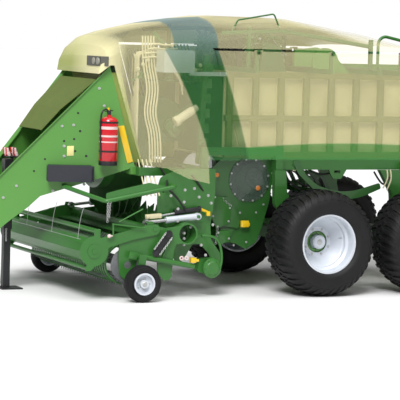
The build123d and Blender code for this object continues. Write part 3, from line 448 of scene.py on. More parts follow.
def see_through_shell(name, alpha, banded):
    """A thin ghost of a painted shell, with the stripe and, low down, a green band.

    Only the left side is a ghost.  The right side is a backdrop to the works, and the
    nose and the roof's upper part hide most of what lies behind them.
    """
    paint = Paint(name, Coat_Weight=0.15, Coat_Roughness=0.2, Specular_IOR_Level=0.2)
    cloud = paint.noise(0.9, 3)
    stripe = stripe_share(paint)
    rise = ((paint.z - shell_low) / stripe_height).clamped()
    lift = ((rise - 0.62) * 4.0).clamped()
    far = ((paint.y + 0.35) * 1.8).clamped()
    ground = paint.blend(far * (1 - lift), paint.blend(cloud, cream_light, cream_deep), inner_olive)
    cover = alpha + (cloud - 0.5) * 0.04 + far * (far_cover - alpha)
    roof = ((paint.z - roof_edge - 0.20) * 5.0).clamped() * roof_cover
    nose = ((nose_line - along_from_axle(paint)) * 4.0).clamped() * nose_cover
    cover = cover + roof.larger(nose) * (1 - far)
    if banded:
        along = along_from_axle(paint)
        edge = 0.165 - (along - 0.2) * (along - 0.2) * 0.035
        band = (edge - (paint.z - shell_low)).above(0.0, 0.02) * (along - band_start).above(0.0, 0.01)
        ground = paint.blend(band, ground, band_green)
        cover = cover + band * band_cover
    paint.colour(paint.blend(stripe, ground, paint.blend(lift, stripe_low, stripe_top)))
    paint.rough(0.32 + paint.noise(30, 3) * 0.1)
    cover = cover + stripe * (stripe_alpha - alpha) * (1 - far)
    # what hangs below the panels' lower edge is left clear
    below = (shell_low - 0.012 - paint.z).above(0.0, 0.004)
    hanging = below * (along_from_axle(paint) - panel_start).above(0.0, 0.004)
    paint.fill(paint.shader.inputs["Alpha"], cover * (1 - hanging))
    return paint.material


print("shells from", round(shell_low, 3), "to", round(roof_edge, 3))

# %% [markdown]
# Each finish is kept under its name.  The record names the slots that a part may take
# its finish from, so a finish that isn't a slot itself says which one it counts as.

# %% The finishes
finishes, slot_for = {}, {}


def finish(make, name, *values, slot=None):
    """Makes a finish and keeps it, with the record's slot that it counts as."""
    finishes[name] = make(name, *values)
    slot_for[name] = slot or name


finish(farm_paint, "green", (0.095, 0.290, 0.050), (0.26, 0.34, 0.20))
finish(farm_paint, "green_dark", (0.030, 0.130, 0.024), (0.12, 0.20, 0.10))
finish(satin_black, "steel_black")
finish(satin_black, "black")
finish(clear_cover, "clear")
finish(bare_steel, "tine_steel", (0.28, 0.29, 0.30), 0.6)
finish(see_through_shell, "cream_shell", 0.15, False)
finish(moulded, "grey_box", (0.50, 0.55, 0.50))
finish(moulded, "hose", (0.62, 0.56, 0.34))
finish(enamel, "red", (0.60, 0.006, 0.016))
finish(moulded, "dark_box", (0.022, 0.024, 0.034))
finish(wheel_silver, "silver")
finish(bare_steel, "rod_chrome", (0.80, 0.80, 0.82), 1.0)
finish(tyre_rubber, "tyre_rubber")
# a darker copy of the green for the lower parts: its darkness is painted shade
finish(farm_paint, "green_low", (0.036, 0.168, 0.026), (0.07, 0.15, 0.05), 0.42, slot="green")
finish(see_through_shell, "panel_shell", 0.17, True, slot="cream_shell")
finish(chamber_paint, "chamber_green", (0.160, 0.180, 0.048), (0.550, 0.510, 0.265), slot="green_dark")
finish(moulded, "hose_black", (0.012, 0.012, 0.013), 0.35, slot="hose")
finish(enamel, "signal_yellow", (0.85, 0.55, 0.010), slot="clear")
finish(bare_steel, "bright_zinc", (0.62, 0.63, 0.62), 0.6, slot="silver")
finish(moulded, "pale_label", (0.78, 0.60, 0.58), 0.4, slot="grey_box")
finish(enamel, "warm_orange", (0.62, 0.19, 0.02), slot="red")
finish(moulded, "front_sheet", (0.115, 0.160, 0.030), slot="cream_shell")
finish(moulded, "pale_yellow", (0.80, 0.74, 0.30), slot="clear")
finish(moulded, "pale_pipe", (0.72, 0.66, 0.42), slot="grey_box")
finish(farm_paint, "works_green", (0.040, 0.130, 0.020), (0.16, 0.22, 0.10), slot="green_dark")
finish(moulded, "disc_grey", (0.045, 0.060, 0.075), slot="black")
# the dark grey of the lamp recess, which is painted shade
finish(moulded, "satin_grey", (0.100, 0.100, 0.080), slot="black")
finish(moulded, "lamp_grey", (0.30, 0.29, 0.24), slot="grey_box")
finish(moulded, "olive_sheet", (0.26, 0.33, 0.07), slot="cream_shell")
print("finishes", len(finishes))

# %% Finishes on the frame's nodes
# A few nodes look different from the rest of their slot.  The frame's lower parts take a darker copy of the
# green, whose darkness is painted shade.
instead = {"bale_chamber": "chamber_green", "front_cover": "front_sheet",
           "side_panel_left": "panel_shell", "side_panel_right": "panel_shell"}
for name in ("main_frame", "tandem_frame", "pickup_frame", "wind_guard", "crop_roller", "side_guards",
             "rear_rail", "bale_chute", "chute_hinge"):
    instead[name] = "green_low"
for name, node in frame["nodes"].items():
    node.data.materials.clear()
    node.data.materials.append(finishes[instead.get(name, slot_of[name])])
print("finishes on", len(frame["nodes"]), "nodes")

# %% [markdown]
# ## A small kit for shapes
# A `Shape` gathers several simple solids in one mesh.  Its sizes are millimetres,
# counted along from the front axle, across from the middle and up from the ground,
# and they become metres in the frame when the shape is placed.

# %% Shapes
to_metres = Matrix.Translation((front_wheel.x, 0, 0)) @ Matrix.Scale(0.001, 4)
# a spun section starts this far from its axis, and the ring of points there is merged
merge_distance = 0.01
# the way that the left side's faces look
outwards = (0, -1, 0)


class Shape:
    """Several solids in one mesh."""

    def __init__(self):
        self.mesh = bmesh.new()

    def _laid_along(self, start, end):
        """The matrix that lays a solid's own Z along a line, at the line's middle."""
        start, end = Vector(start), Vector(end)
        turn = (end - start).to_track_quat("Z", "Y").to_matrix().to_4x4()
        return Matrix.Translation((start + end) / 2) @ turn

    def box(self, low, high, bevel=0):
        """A block between two corners, with its edges rounded."""
        low, high = Vector(low), Vector(high)
        size = Matrix.Diagonal((*(high - low), 1))
        made = bmesh.ops.create_cube(self.mesh, size=1, matrix=Matrix.Translation((low + high) / 2) @ size)
        self._bevel(made["verts"], bevel)
        return self

    def bar(self, start, end, radius, sides=16, bevel=0, far_radius=None):
        """A round or many-sided bar from one point to another; it may taper."""
        length = (Vector(end) - Vector(start)).length
        made = bmesh.ops.create_cone(self.mesh, cap_ends=True, cap_tris=False, segments=sides,
                                     radius1=radius, radius2=far_radius or radius, depth=length,
                                     matrix=self._laid_along(start, end))
        self._bevel(made["verts"], bevel)
        return self

    def beam(self, start, end, width, height, bevel=0):
        """A rectangular bar from one point to another."""
        length = (Vector(end) - Vector(start)).length
        size = Matrix.Diagonal((width, height, length, 1))
        made = bmesh.ops.create_cube(self.mesh, size=1, matrix=self._laid_along(start, end) @ size)
        self._bevel(made["verts"], bevel)
        return self

    def plate(self, outline, y_low, y_high, bevel=0):
        """A flat plate across the machine from (along, up) points."""
        corners = [self.mesh.verts.new((x, y_low, z)) for x, z in outline]
        face = self.mesh.faces.new(corners)
        made = bmesh.ops.extrude_face_region(self.mesh, geom=[face])["geom"]
        moved = [item for item in made if isinstance(item, bmesh.types.BMVert)]
        bmesh.ops.translate(self.mesh, verts=moved, vec=(0, y_high - y_low, 0))
        self._bevel(corners + moved, bevel)
        return self

    def turned(self, section, centre, axis=(0, 1, 0), steps=32):
        """A section of (radius, along the axis) points spun into a ring or disc."""
        axis = Vector(axis)
        out = axis.orthogonal().normalized()
        centre = Vector(centre)
        verts = [self.mesh.verts.new(centre + out * max(radius, merge_distance) + axis * height)
                 for radius, height in section]
        edges = [self.mesh.edges.new((a, b)) for a, b in zip(verts, verts[1:])]
        bmesh.ops.spin(self.mesh, geom=verts + edges, cent=centre, axis=axis, angle=2 * pi, steps=steps,
                       use_merge=True, use_duplicate=False)
        return self

    def bolt(self, place, size, axis=outwards):
        """A hexagon head on a washer, which looks along an axis."""
        place, axis = Vector(place), Vector(axis).normalized()
        self.bar(place, place + axis * size * 0.25, size * 1.25, 14)
        self.bar(place + axis * size * 0.25, place + axis * size * 0.95, size, 6, far_radius=size * 0.86)
        return self

    def bolts(self, places, y, size):
        """Bolts at (along, up) places, all at the same distance across."""
        for x, z in places:
            self.bolt((x, y, z), size)
        return self

    def bolt_circle(self, centre, radius, count, size, axis=outwards, first=0.0):
        """Bolts at even steps round a circle that lies square to Y."""
        x, y, z = centre
        for step in range(count):
            turn = first + 2 * pi * step / count
            self.bolt((x + cos(turn) * radius, y, z + sin(turn) * radius), size, axis)
        return self

    def _bevel(self, verts, width):
        """Rounds every edge at some vertices."""
        if width:
            edges = {edge for vert in verts for edge in vert.link_edges}
            bmesh.ops.bevel(self.mesh, geom=list(edges), offset=width, affect="EDGES", segments=2,
                            profile=0.5, material=-1, clamp_overlap=True)

    def placed(self, name, finish, body="chassis", replaces=(), slot=None):
        """Turns the shape into a piece that rides on a body."""
        shape = self.mesh
        bmesh.ops.remove_doubles(shape, verts=shape.verts, dist=merge_distance)
        bmesh.ops.recalc_face_normals(shape, faces=shape.faces)
        bmesh.ops.transform(shape, verts=shape.verts, matrix=to_metres)
        mesh = bpy.data.meshes.new(name)
        shape.to_mesh(mesh)
        shape.free()
        mesh.shade_smooth()
        mesh.set_sharp_from_angle(angle=radians(35))
        settle(name, mesh, finish, body, replaces)


def settle(name, data, finish, body, replaces=()):
    """Links a mesh or curve as a piece on a body."""
    data.materials.append(finishes[finish])
    piece = bpy.data.objects.new(name, data)
    bpy.context.scene.collection.objects.link(piece)
    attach(piece, body)
    if replaces:
        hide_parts(*replaces)


print("shape kit ready")


# %% Tubes and chains
def tubes(name, runs, radius, finish, body="chassis", closed=False):
    """Round tubes, hoses or wires, each a smooth curve through its own few points."""
    data = bpy.data.curves.new(name, "CURVE")
    data.dimensions = "3D"
    data.bevel_depth = radius / 1000
    data.bevel_resolution = 2
    data.use_fill_caps = True
    data.resolution_u = data.render_resolution_u = 5
    for run in runs:
        spline = data.splines.new("NURBS")
        spline.points.add(len(run) - 1)
        for point, place in zip(spline.points, run):
            point.co = (*(to_metres @ Vector(place)), 1)
        spline.use_cyclic_u = closed
        spline.use_endpoint_u = not closed
        spline.order_u = 3
    settle(name, data, finish, body)


def shifted(line, start, pitch, count):
    """The same line several times, each a pitch further along than the last."""
    return [[(x + start + step * pitch, y, z) for x, y, z in line] for step in range(count)]


def chain_links(start, end, count, half_width, sag=0):
    """Oval links from one point to another, each turned a quarter from the last."""
    start, end = Vector(start), Vector(end)
    along = (end - start).normalized()
    side = along.orthogonal().normalized()
    runs = []
    reach = along * ((end - start).length / count * 0.68)
    for step in range(count):
        share = (step + 0.5) / count
        centre = start.lerp(end, share) - Vector((0, 0, 4 * sag * share * (1 - share)))
        wide = (side if step % 2 else along.cross(side)) * half_width
        runs.append([centre + reach, centre + reach * 0.5 + wide, centre - reach * 0.5 + wide,
                     centre - reach, centre - reach * 0.5 - wide, centre + reach * 0.5 - wide])
    return runs


print("tube kit ready")

# %% [markdown]
# ## Tyres
# The body is a section spun round the axle.  A lug starts as a block that is cut
# into short lengths, and is then wrapped over the shoulder: every vertex knows how
# far along the lug it is, and so where it lies round the tyre.

# %% A lug wrapped over the shoulder
lugs_round = 38
lug_height, lug_root = 15, -8
lug_tip_share, lug_top_width = 0.25, 0.80
# (distance from the tyre's middle, radius) from the crown to the bead
tyre_side = [(0, 518), (90, 517), (168, 509), (222, 488), (250, 455), (261, 415), (262, 385), (256, 365),
             (258, 350), (252, 330), (240, 312), (226, 300), (214, 290)]
# the line that a shoulder lug follows, in the same way
lug_line = [(80, 517), (138, 513), (196, 501), (232, 479), (252, 451)]


def straight_lug(cuts):
    """A block of unit size, cut across its length, as a mesh to copy."""
    block = bmesh.new()
    bmesh.ops.create_cube(block, size=1)
    lengthwise = [edge for edge in block.edges if abs(edge.verts[0].co.y - edge.verts[1].co.y) > 0.5]
    bmesh.ops.subdivide_edges(block, edges=lengthwise, cuts=cuts)
    mesh = bpy.data.meshes.new("straight_lug")
    block.to_mesh(mesh)
    block.free()
    return mesh


def wrap_lug(shape, block, side, turn, line, lean, width):
    """Adds a copy of the block, wrapped along a line of (across, radius) points."""
    first = len(shape.verts)
    shape.from_mesh(block)
    shape.verts.ensure_lookup_table()
    for vert in shape.verts[first:]:
        t = min(max(vert.co.y + 0.5, 0.0), 1.0)
        outer = vert.co.z > 0
        step = min(int(t * (len(line) - 1)), len(line) - 2)
        share = t * (len(line) - 1) - step
        start, end = Vector(line[step]), Vector(line[step + 1])
        on_line = start.lerp(end, share)
        run = (end - start).normalized()
        rise = lug_height * (1 - (1 - lug_tip_share) * t * t) if outer else lug_root
        across, radius = on_line.x - run.y * rise, on_line.y + run.x * rise
        angle = turn + lean * t * t + vert.co.x * width * (lug_top_width if outer else 1.0) / radius
        vert.co = (sin(angle) * radius, side * across, cos(angle) * radius)


# %% One tyre, and its four places
def make_tyre():
    """A wide tyre with wrapped shoulder lugs and two rows of blocks between them."""
    shape = Shape()
    section = [(radius, y) for y, radius in reversed(tyre_side)]
    section += [(radius, -y) for y, radius in tyre_side[1:]]
    shape.turned(section, (0, 0, 0), steps=72)
    shoulder, crown = straight_lug(7), straight_lug(1)
    for k in range(lugs_round):
        for side in (-1, 1):
            turn = 2 * pi * (k + side / 4) / lugs_round
            wrap_lug(shape.mesh, shoulder, side, turn, lug_line, -0.12, 46)
            wrap_lug(shape.mesh, crown, side, turn + 0.055, [(6, 517), (64, 516)], -0.05, 40)
    mesh = bpy.data.meshes.new("whole_tyre")
    shape.mesh.to_mesh(mesh)
    shape.mesh.free()
    return mesh


def from_axle(node):
    """The middle of a node's box in the shapes' millimetres."""
    return to_metres.inverted() @ middle(node)


sides = ((-1, "left"), (1, "right"))
wheels = [(side, f"{axle}_{side_name}") for side, side_name in sides for axle in ("front", "rear")]
whole_tyre = make_tyre()
for side, wheel in wheels:
    shape = Shape()
    shape.mesh.from_mesh(whole_tyre)
    bmesh.ops.scale(shape.mesh, verts=shape.mesh.verts, vec=(1, -side, 1))
    bmesh.ops.translate(shape.mesh, verts=shape.mesh.verts, vec=from_axle(f"tyre_{wheel}"))
    shape.placed(f"treaded_tyre_{wheel}", "tyre_rubber", f"wheelset_{wheel}", (f"tyre_{wheel}",))
print("faces in one tyre", len(whole_tyre.polygons))

# %% [markdown]
# Each wheel has a green ring sunk round its hub cap, with ten small bolts, and eight
# nuts on the disc.  The gauge wheels get a ribbed tread and a hub cap with five bolts.
# Sections spun round the axle give all of these, and one helper sets their bolts.

# %% Hubs
def dress_wheel(side, wheel):
    """The green ring, the nuts, the cap's centre and the valve of one wheel."""
    x, y, z = from_axle(f"wheel_{wheel}")
    body, inner, outer = f"wheelset_{wheel}", (0, -side, 0), (0, side, 0)
    ring = Shape().turned([(73, 88), (78, 66), (104, 66), (107, 54), (107, 92), (73, 92), (73, 88)],
                          (x, y, z), inner)
    ring.bolt_circle((x, y - side * 66, z), 91, 10, 7, outer, 0.3)
    ring.placed(f"hub_ring_{wheel}", "green", body)
    nuts = Shape().bolt_circle((x, y - side * 50, z), 134, 8, 10, outer, pi / 8)
    nuts.turned([(0, -13), (22, -13), (30, -10), (30, -6), (52, -6), (60, -9.5), (0, -9.5)],
                (x, y, z), inner)
    nuts.bar((x + 205, y + side * 25, z + 40), (x + 225, y + side * 62, z + 44), 5, 8)
    nuts.placed(f"wheel_nuts_{wheel}", "bright_zinc", body)


for side, wheel in wheels:
    dress_wheel(side, wheel)
print("hubs done")

# %% Gauge wheels
gauge_low, gauge_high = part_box("gauge_tyre_left")
gauge_radius = (gauge_high - gauge_low).z * 500


def gauge_section():
    """A crowned tread with five ribs, from one bead to the other."""
    ribs = []
    for rib in range(-2, 3):
        for across, drop in ((-9.5, 7), (-8, 0), (8, 0), (9.5, 7)):
            ribs.append((gauge_radius - drop - rib * rib * 2.2, rib * 21 + across))
    low = [(106, -42), (118, -54), (140, -62), (162, -60)]
    return low + ribs + [(radius, -y) for radius, y in reversed(low)]


for side, side_name in sides:
    centre = from_axle(f"gauge_tyre_{side_name}")
    x, y, z = centre
    body, outer = f"gauge_{side_name}", (0, side, 0)
    tread = Shape().turned(gauge_section(), centre, steps=48)
    tread.placed(f"ribbed_tyre_{side_name}", "tyre_rubber", body, (f"gauge_tyre_{side_name}",))
    cap = Shape().turned([(0, 70), (20, 70), (26, 64), (26, 46), (42, 42), (46, 34), (0, 34)],
                         centre, outer, 24)
    cap.bolt_circle((x, y + side * 26, z), 62, 5, 6, outer)
    cap.placed(f"gauge_cap_{side_name}", "bright_zinc", body)
print("gauge wheels done")

# %% [markdown]
# ## On the drawbar's plates
# The plates run inwards to the hitch, so everything on the left one is built flat on
# Y = 0, and then each of its points is moved across to where the plate's face lies.
# Nothing has to be turned, and all the sizes stay easy to read.

# %% Bolts and small plates on the left plate
plate_rear_x, plate_rear_half = -2115, 560
plate_slope = 0.344


def plate_y(x):
    """How far the drawbar plate's outer face lies from the middle."""
    return plate_rear_half + plate_slope * (x - plate_rear_x)


def lay_on_plate(shape):
    """Moves a shape that was built on the plane Y = 0 onto the left plate's outer face."""
    for vert in shape.mesh.verts:
        vert.co.y -= plate_y(vert.co.x)
    return shape


bolts = Shape().bolts([(-2548, 1650), (-2441, 1663), (-2525, 1453), (-2523, 1354), (-2210, 2030),
                       (-2160, 1860), (-2960, 1050), (-3080, 930), (-2620, 1010), (-2330, 1080)], 0, 11)
lay_on_plate(bolts).placed("plate_bolts", "bright_zinc")
# black discs stand for the holes in the plate: their black is painted shade
holes = Shape()
for x, z, size in ((-2379, 1605, 9), (-2433, 1525, 8), (-2526, 1503, 8), (-2421, 1406, 8),
                   (-2317, 1360, 9), (-2402, 1782, 8), (-2700, 1320, 7), (-2800, 1200, 7)):
    holes.turned([(0, -0.6), (size, -0.6), (size + 3, -1.4), (size + 3, 1)], (x, 0, z), steps=16)
lay_on_plate(holes).placed("plate_holes_painted_shade", "black")
slanted = Shape().plate([(-2030, 1664), (-1972, 1672), (-1880, 1316), (-1932, 1296)], -9, -1.5, 2)
lay_on_plate(slanted).placed("slanted_yellow_bar", "signal_yellow")
blank = Shape().plate([(-2497, 1454), (-2434, 1458), (-2434, 1361), (-2497, 1357)], -3, -0.8, 1)
lay_on_plate(blank).placed("small_blank_plate", "pale_yellow")
print("plate bolts done")

# %% [markdown]
# The fire extinguisher hangs beside the plate.  Its bottle, foot, bands and straps are
# sections spun round one upright axis, so they all read the same radius.

# %% The fire extinguisher
def make_extinguisher():
    """A red bottle with a black foot, a valve, two straps, three pale bands and a hose."""
    low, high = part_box("fire_extinguisher")
    radius, gap = 92, 12
    x = ((low.x + high.x) / 2 - front_wheel.x) * 1000 + 10
    y = -plate_y(x) - radius - gap
    foot, top = low.z * 1000 - 90, high.z * 1000 + 15
    shoulder = top - 120
    centre, upwards = (x, y, 0), (0, 0, 1)
    bottle = Shape().turned([(0, foot + 40), (radius - 4, foot + 40), (radius, foot + 46),
                             (radius, shoulder - 46), (radius - 8, shoulder - 22),
                             (radius - 30, shoulder - 4), (24, shoulder + 6), (20, shoulder + 22),
                             (0, shoulder + 22)], centre, upwards, 40)
    bottle.placed("extinguisher_bottle", "red", replaces=("fire_extinguisher",))
    dark = Shape().turned([(0, foot), (radius - 2, foot), (radius + 1, foot + 6),
                           (radius + 1, foot + 44), (0, foot + 44)], centre, upwards, 32)
    dark.box((x - 16, y - 16, shoulder + 20), (x + 16, y + 16, shoulder + 62), 4)
    dark.beam((x - 50, y, shoulder + 74), (x + 40, y, shoulder + 62), 18, 10, 3)
    dark.beam((x - 46, y, shoulder + 56), (x + 10, y, shoulder + 50), 16, 8, 3)
    dark.placed("extinguisher_foot_and_valve", "black")

    def hoop(shape, base, height, sunk, proud):
        """A band round the bottle, partly sunk in it."""
        inner, outer = radius - sunk, radius + proud
        shape.turned([(inner, base), (outer, base + 1), (outer, base + height - 1),
                      (inner, base + height)], centre, upwards, 40)

    bands = Shape()
    for drop, height in ((250, 14), (196, 20), (120, 30)):
        hoop(bands, shoulder - drop, height, 3, 0.8)
    bands.placed("extinguisher_bands", "pale_label")
    straps = Shape()
    for base in (foot + 130, shoulder - 60):
        hoop(straps, base, 18, 2, 3)
        straps.box((x - 14, y + radius - 4, base - 4), (x + 14, y + radius + 10, base + 22), 2)
    straps.placed("extinguisher_straps", "hose_black", slot="black")
    hose = [(x - 4, y - 6, shoulder + 52), (x - 30, y - 14, shoulder + 84),
            (x - 86, y - 20, shoulder + 60), (x - 100, y - 24, shoulder - 60),
            (x - 98, y - 26, shoulder - 200), (x - 88, y - 30, foot + 110), (x - 84, y - 30, foot + 66)]
    tubes("extinguisher_hose", [hose], 9, "hose_black")
    tip = Shape().bar((x - 8, y, shoulder + 60), (x - 8, y, shoulder + 92), 13, 16, 2, 9)
    tip.placed("extinguisher_tip", "signal_yellow")


make_extinguisher()
print("extinguisher done")


# %% The toolbox's lid
def make_toolbox_lid():
    """A backing plate with the lid, its lower face, two latches and a handle."""
    low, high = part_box("toolbox")
    x0, x1 = (low.x - front_wheel.x) * 1000, (high.x - front_wheel.x) * 1000
    z0, z1 = low.z * 1000, high.z * 1000
    face = -104
    lid = Shape()
    lid.box((x0 + 6, face - 2, z0 + 4), (x1 - 6, face + 3, z1 - 4), 2)
    lid.box((x0 + 14, face, z1 - 58), (x1 - 14, face - 9, z1 - 8), 5)
    lid.box((x0 + 26, face, z0 + 12), (x1 - 26, face - 5, z1 - 70), 4)
    for share in (0.2, 0.8):
        x = x0 + (x1 - x0) * share
        lid.box((x - 22, face - 8, z1 - 84), (x + 22, face - 18, z1 - 36), 4)
    x = (x0 + x1) / 2
    for end in (x - 74, x + 60):
        lid.box((end, face - 8, z1 - 40), (end + 14, face - 26, z1 - 20), 3)
    lid.box((x - 70, face - 18, z1 - 36), (x + 70, face - 28, z1 - 24), 4)
    lay_on_plate(lid).placed("toolbox_lid", "dark_box")


make_toolbox_lid()
print("toolbox lid done")

# %% [markdown]
# The second lifting cylinder lies beside the first.  Its barrel rides with the first
# barrel and its rod with the first piston, so both pairs stay in line when the pick-up
# lifts.  Bars between two points are simpler than turning a cylinder by hand.

# %% The second lifting cylinder
line_y = -968
barrel = Shape().bar((-1547, line_y, 838), (-1290, line_y, 868), 26, 24, 4)
barrel.bar((-1560, line_y, 836), (-1540, line_y, 839), 31, 24, 3)
barrel.bar((-1300, line_y, 867), (-1278, line_y, 869), 31, 24, 3)
barrel.bar((-1450, line_y, 876), (-1450, line_y, 902), 9, 12)
barrel.placed("second_barrel", "black", "barrel_left")
fitting = Shape().bar((-1280, line_y, 866), (-1200, line_y, 840), 17, 16, 3, 12)
fitting.box((-1214, line_y - 18, 800), (-1176, line_y + 18, 846), 5)
fitting.placed("second_barrel_yellow_fitting", "signal_yellow", "barrel_left")
rod = Shape().bar((-1706, line_y, 805), (-1330, line_y, 862), 11)
rod.placed("second_piston_rod", "rod_chrome", "piston_left")
clevis = Shape()
for y in (line_y - 16, line_y + 16):
    clevis.beam((-1862, y, 796), (-1716, y, 806), 9, 44, 3)
clevis.box((-1724, line_y - 21, 782), (-1700, line_y + 21, 828), 4)
clevis.bar((-1846, line_y - 30, 797), (-1846, line_y + 30, 797), 13, 16, 2)
clevis.placed("second_clevis", "pale_pipe", "piston_left")
print("second cylinder done")

# %% [markdown]
# Chains are the same rounded link many times, every other one turned.  One short list of
# runs gives them all, and each link is a closed curve with a round bevel.

# %% Chains
hanging_y, housing_y, guard_chain_y = -1094, -668, -1204
link_half_width, link_radius = 9, 2.6
runs = chain_links((-2316, hanging_y, 958), (-2316, hanging_y, 760), 11, link_half_width)
runs += chain_links((-2290, hanging_y, 958), (-2300, hanging_y, 800), 9, link_half_width)
tubes("hanging_chains", runs, link_radius, "bright_zinc", closed=True)
runs = chain_links((-904, housing_y, 949), (-801, housing_y, 868), 7, link_half_width, 6)
runs += chain_links((-949, housing_y, 646), (-966, housing_y, 484), 9, link_half_width)
tubes("housing_chains", runs, link_radius, "bright_zinc", closed=True)

# %% Guard wires
runs = [[(-2560, y, 900), (-2604, y, 780), (-2612, y, 600)] for y in (-1080, -360, 360, 1080)]
runs.append([(-2612, -1140, 604), (-2612, 0, 602), (-2612, 1140, 604)])
tubes("guard_wires", runs, 2.4, "bright_zinc", "guard")

# %% Thin bars on the pick-up
bar_y = -1186
bars = Shape().bar((-2302, bar_y, 750), (-1956, bar_y, 707), 8, 12)
bars.bar((-2292, bar_y, 752), (-2289, bar_y, 630), 9, 12)
bars.bar((-2218, -1150, 766), (-1970, -1150, 890), 7, 12)
bars.bar((-2080, -1196, 431), (-2080, -1150, 431), 30, 20, 3)
bars.beam((-2120, -1190, 448), (-2030, -1190, 430), 10, 70, 3)
bars.placed("pickup_thin_bars", "green_low", "pickup")
knob_end = (-2330, bar_y, 634)
knob = Shape().turned([(0, -20), (14, -16), (20, 0), (14, 16), (0, 20)], knob_end, (1, 0, 0), 20)
knob.bar(knob_end, (-2290, bar_y, 636), 6, 12)
knob.placed("pickup_knob", "pale_label", "pickup")

# %% Inside the chain guard
sprocket = [(0, 0), (34, 0), (38, -3), (38, -9), (20, -12), (20, -18), (0, -18)]
inside = Shape()
for x, z in ((-1838, 464), (-1705, 642)):
    inside.turned(sprocket, (x, bar_y, z), steps=28)
inside.beam((-1838, -1184, 464), (-1705, -1184, 642), 4, 74, 1)
inside.placed("chain_guard_inside", "black", "pickup")
runs = chain_links((-1862, guard_chain_y, 500), (-1742, guard_chain_y, 664), 12, 7)
runs += chain_links((-1802, guard_chain_y, 446), (-1676, guard_chain_y, 612), 12, 7)
tubes("chain_guard_chain", runs, 3, "bright_zinc", "pickup", closed=True)
tags = Shape()
for x in (-1565, -1512):
    tags.turned([(10, -3), (21, -3), (23, 0), (21, 3), (10, 3), (10, -3)], (x, -1190, 408), steps=24)
tags.placed("ring_tags", "pale_label", "pickup")
print("chains, wires and bars done")

# %% [markdown]
# Small blocks, bolts and dabs of paint mark where parts are serviced.  They are rounded
# boxes, six-sided heads and flat domes, set on the faces that they belong to.

# %% Blocks, bolts and dabs on the frame
frame_face = -1058
heads = Shape().bolts([(-1487, 641), (-1486, 587), (-1484, 527), (-1490, 1065), (-1497, 947),
                       (-1337, 995), (-1205, 935), (-1420, 700), (-1560, 880), (-1240, 1010),
                       (-1640, 1010), (-1300, 520), (-1180, 720), (-1250, 420), (-1560, 760),
                       (-1390, 1080)], frame_face, 12)
heads.placed("frame_bolts", "bright_zinc")
block = Shape().box((-1466, -1206, 360), (-1410, -1158, 412), 6)
block.box((-1420, -1212, 372), (-1386, -1190, 398), 4)
block.placed("pickup_yellow_block", "signal_yellow", "pickup")
block = Shape().box((-695, -690, 653), (-608, -660, 721), 6)
block.box((-612, -684, 664), (-596, -662, 700), 3)
block.placed("housing_yellow_block", "signal_yellow")
dabs = Shape().turned([(0, -6), (20, -6), (26, -1), (26, 4)], (-496, -640, 1047), steps=20)
dabs.turned([(0, -5), (16, -5), (22, -1), (22, 4)], (-967, -662, 1182), steps=20)
dabs.placed("orange_dabs", "warm_orange")

# %% The hook arm and the drive's cap
arm = [(-1300, -1070, 612), (-1200, -1072, 616), (-1112, -1072, 560), (-1080, -1072, 440),
       (-1080, -1072, 330), (-1100, -1072, 290)]
tubes("hook_arm", [arm], 15, "green_low")
cap_x, cap_z = -1180, 290
cap = Shape().turned([(0, -40), (60, -40), (74, -30), (92, -26), (98, -18), (98, 0)],
                     (cap_x, frame_face, cap_z), steps=36)
cap.bolt_circle((cap_x, frame_face - 26, cap_z), 82, 6, 9)
cap.placed("drive_casing_cap", "green_low")

# %% [markdown]
# A dark disc stands behind the clear round cover.  The cover's bolts lie on one circle,
# so a function places them; the housing's bolts follow no pattern and are listed.

# %% The round cover and the feed housing
cover_x, cover_z = -593, 1129
disc = Shape().turned([(0, -8), (34, -8), (40, -14), (88, -12), (100, -6), (100, 4), (0, 4)],
                      (-532, -612, 1150), steps=40)
disc.turned([(150, -2), (206, -2), (210, 4), (150, 4), (150, -2)], (cover_x, -618, cover_z), steps=48)
disc.placed("dark_disc", "disc_grey")
rim = Shape().bolt_circle((cover_x, -637, cover_z), 214, 12, 9, first=0.2)
rim.placed("cover_bolts", "bright_zinc")
plate_face, housing_face, plate_end = -672, -660, -800
plates = Shape().plate([(-1010, 980), (-900, 960), (plate_end, 860), (-812, 700), (-960, 640), (-1020, 760)],
                       plate_face, -659, 4)
plates.plate([(-960, 620), (-820, 620), (plate_end, 520), (-900, 480), (-960, 520)], -670, -659, 4)
plates.placed("housing_plates", "green_low")
heads = Shape().bolts([(-990, 960), (-820, 850), (-830, 715), (-950, 662), (-1004, 770), (-940, 600),
                       (-822, 540)], plate_face, 9)
heads.bolts([(-700, 800), (-520, 800), (-440, 880), (-620, 500), (-760, 470), (-350, 1200),
             (-350, 1050)], housing_face, 9)
heads.placed("housing_bolts", "bright_zinc")
print("frame blocks and the round cover done")

# %% [markdown]
# Hoses are smooth curves through a few points.  A NURBS curve with a round bevel keeps
# the bend even, which a chain of straight cylinders would not.

# %% Hoses and lines
drop = [(0, -560, 1330), (-6, -640, 1230), (-40, -800, 1120), (-66, -930, 1056), (-60, -960, 1000)]
tubes("pale_hoses", shifted(drop, -1790, 44, 4), 8, "pale_pipe")
runs = [[(-1629, -990, 1058), (-1560, -1010, 1000), (-1480, -1010, 890), (-1429, -990, 839)],
        [(-1441, -760, 1290), (-1380, -900, 1230), (-1300, -960, 1120), (-1215, -900, 1030)],
        [(-1640, -700, 1300), (-1600, -840, 1200), (-1640, -980, 1100), (-1700, -1000, 1040)],
        [(-204, -650, 1300), (-210, -660, 1180), (-120, -664, 1080), (-24, -650, 1025)],
        [(-160, -640, 1300), (-150, -650, 1190), (-70, -650, 1110), (60, -640, 1060)],
        [(-110, -620, 1300), (-90, -630, 1220), (0, -630, 1150), (130, -620, 1110)],
        [(-60, -600, 1330), (100, -640, 1200), (320, -640, 1180), (520, -620, 1260)],
        [(700, -880, 1230), (760, -900, 1120), (840, -890, 1090), (900, -860, 1180)]]
tubes("black_hoses", runs, 10, "hose_black")
runs = [[(840, -900, 1250), (850, -912, 1180), (830, -912, 1120), (800, -900, 1060)],
        [(880, -900, 1250), (892, -912, 1170), (868, -912, 1100), (846, -900, 1040)]]
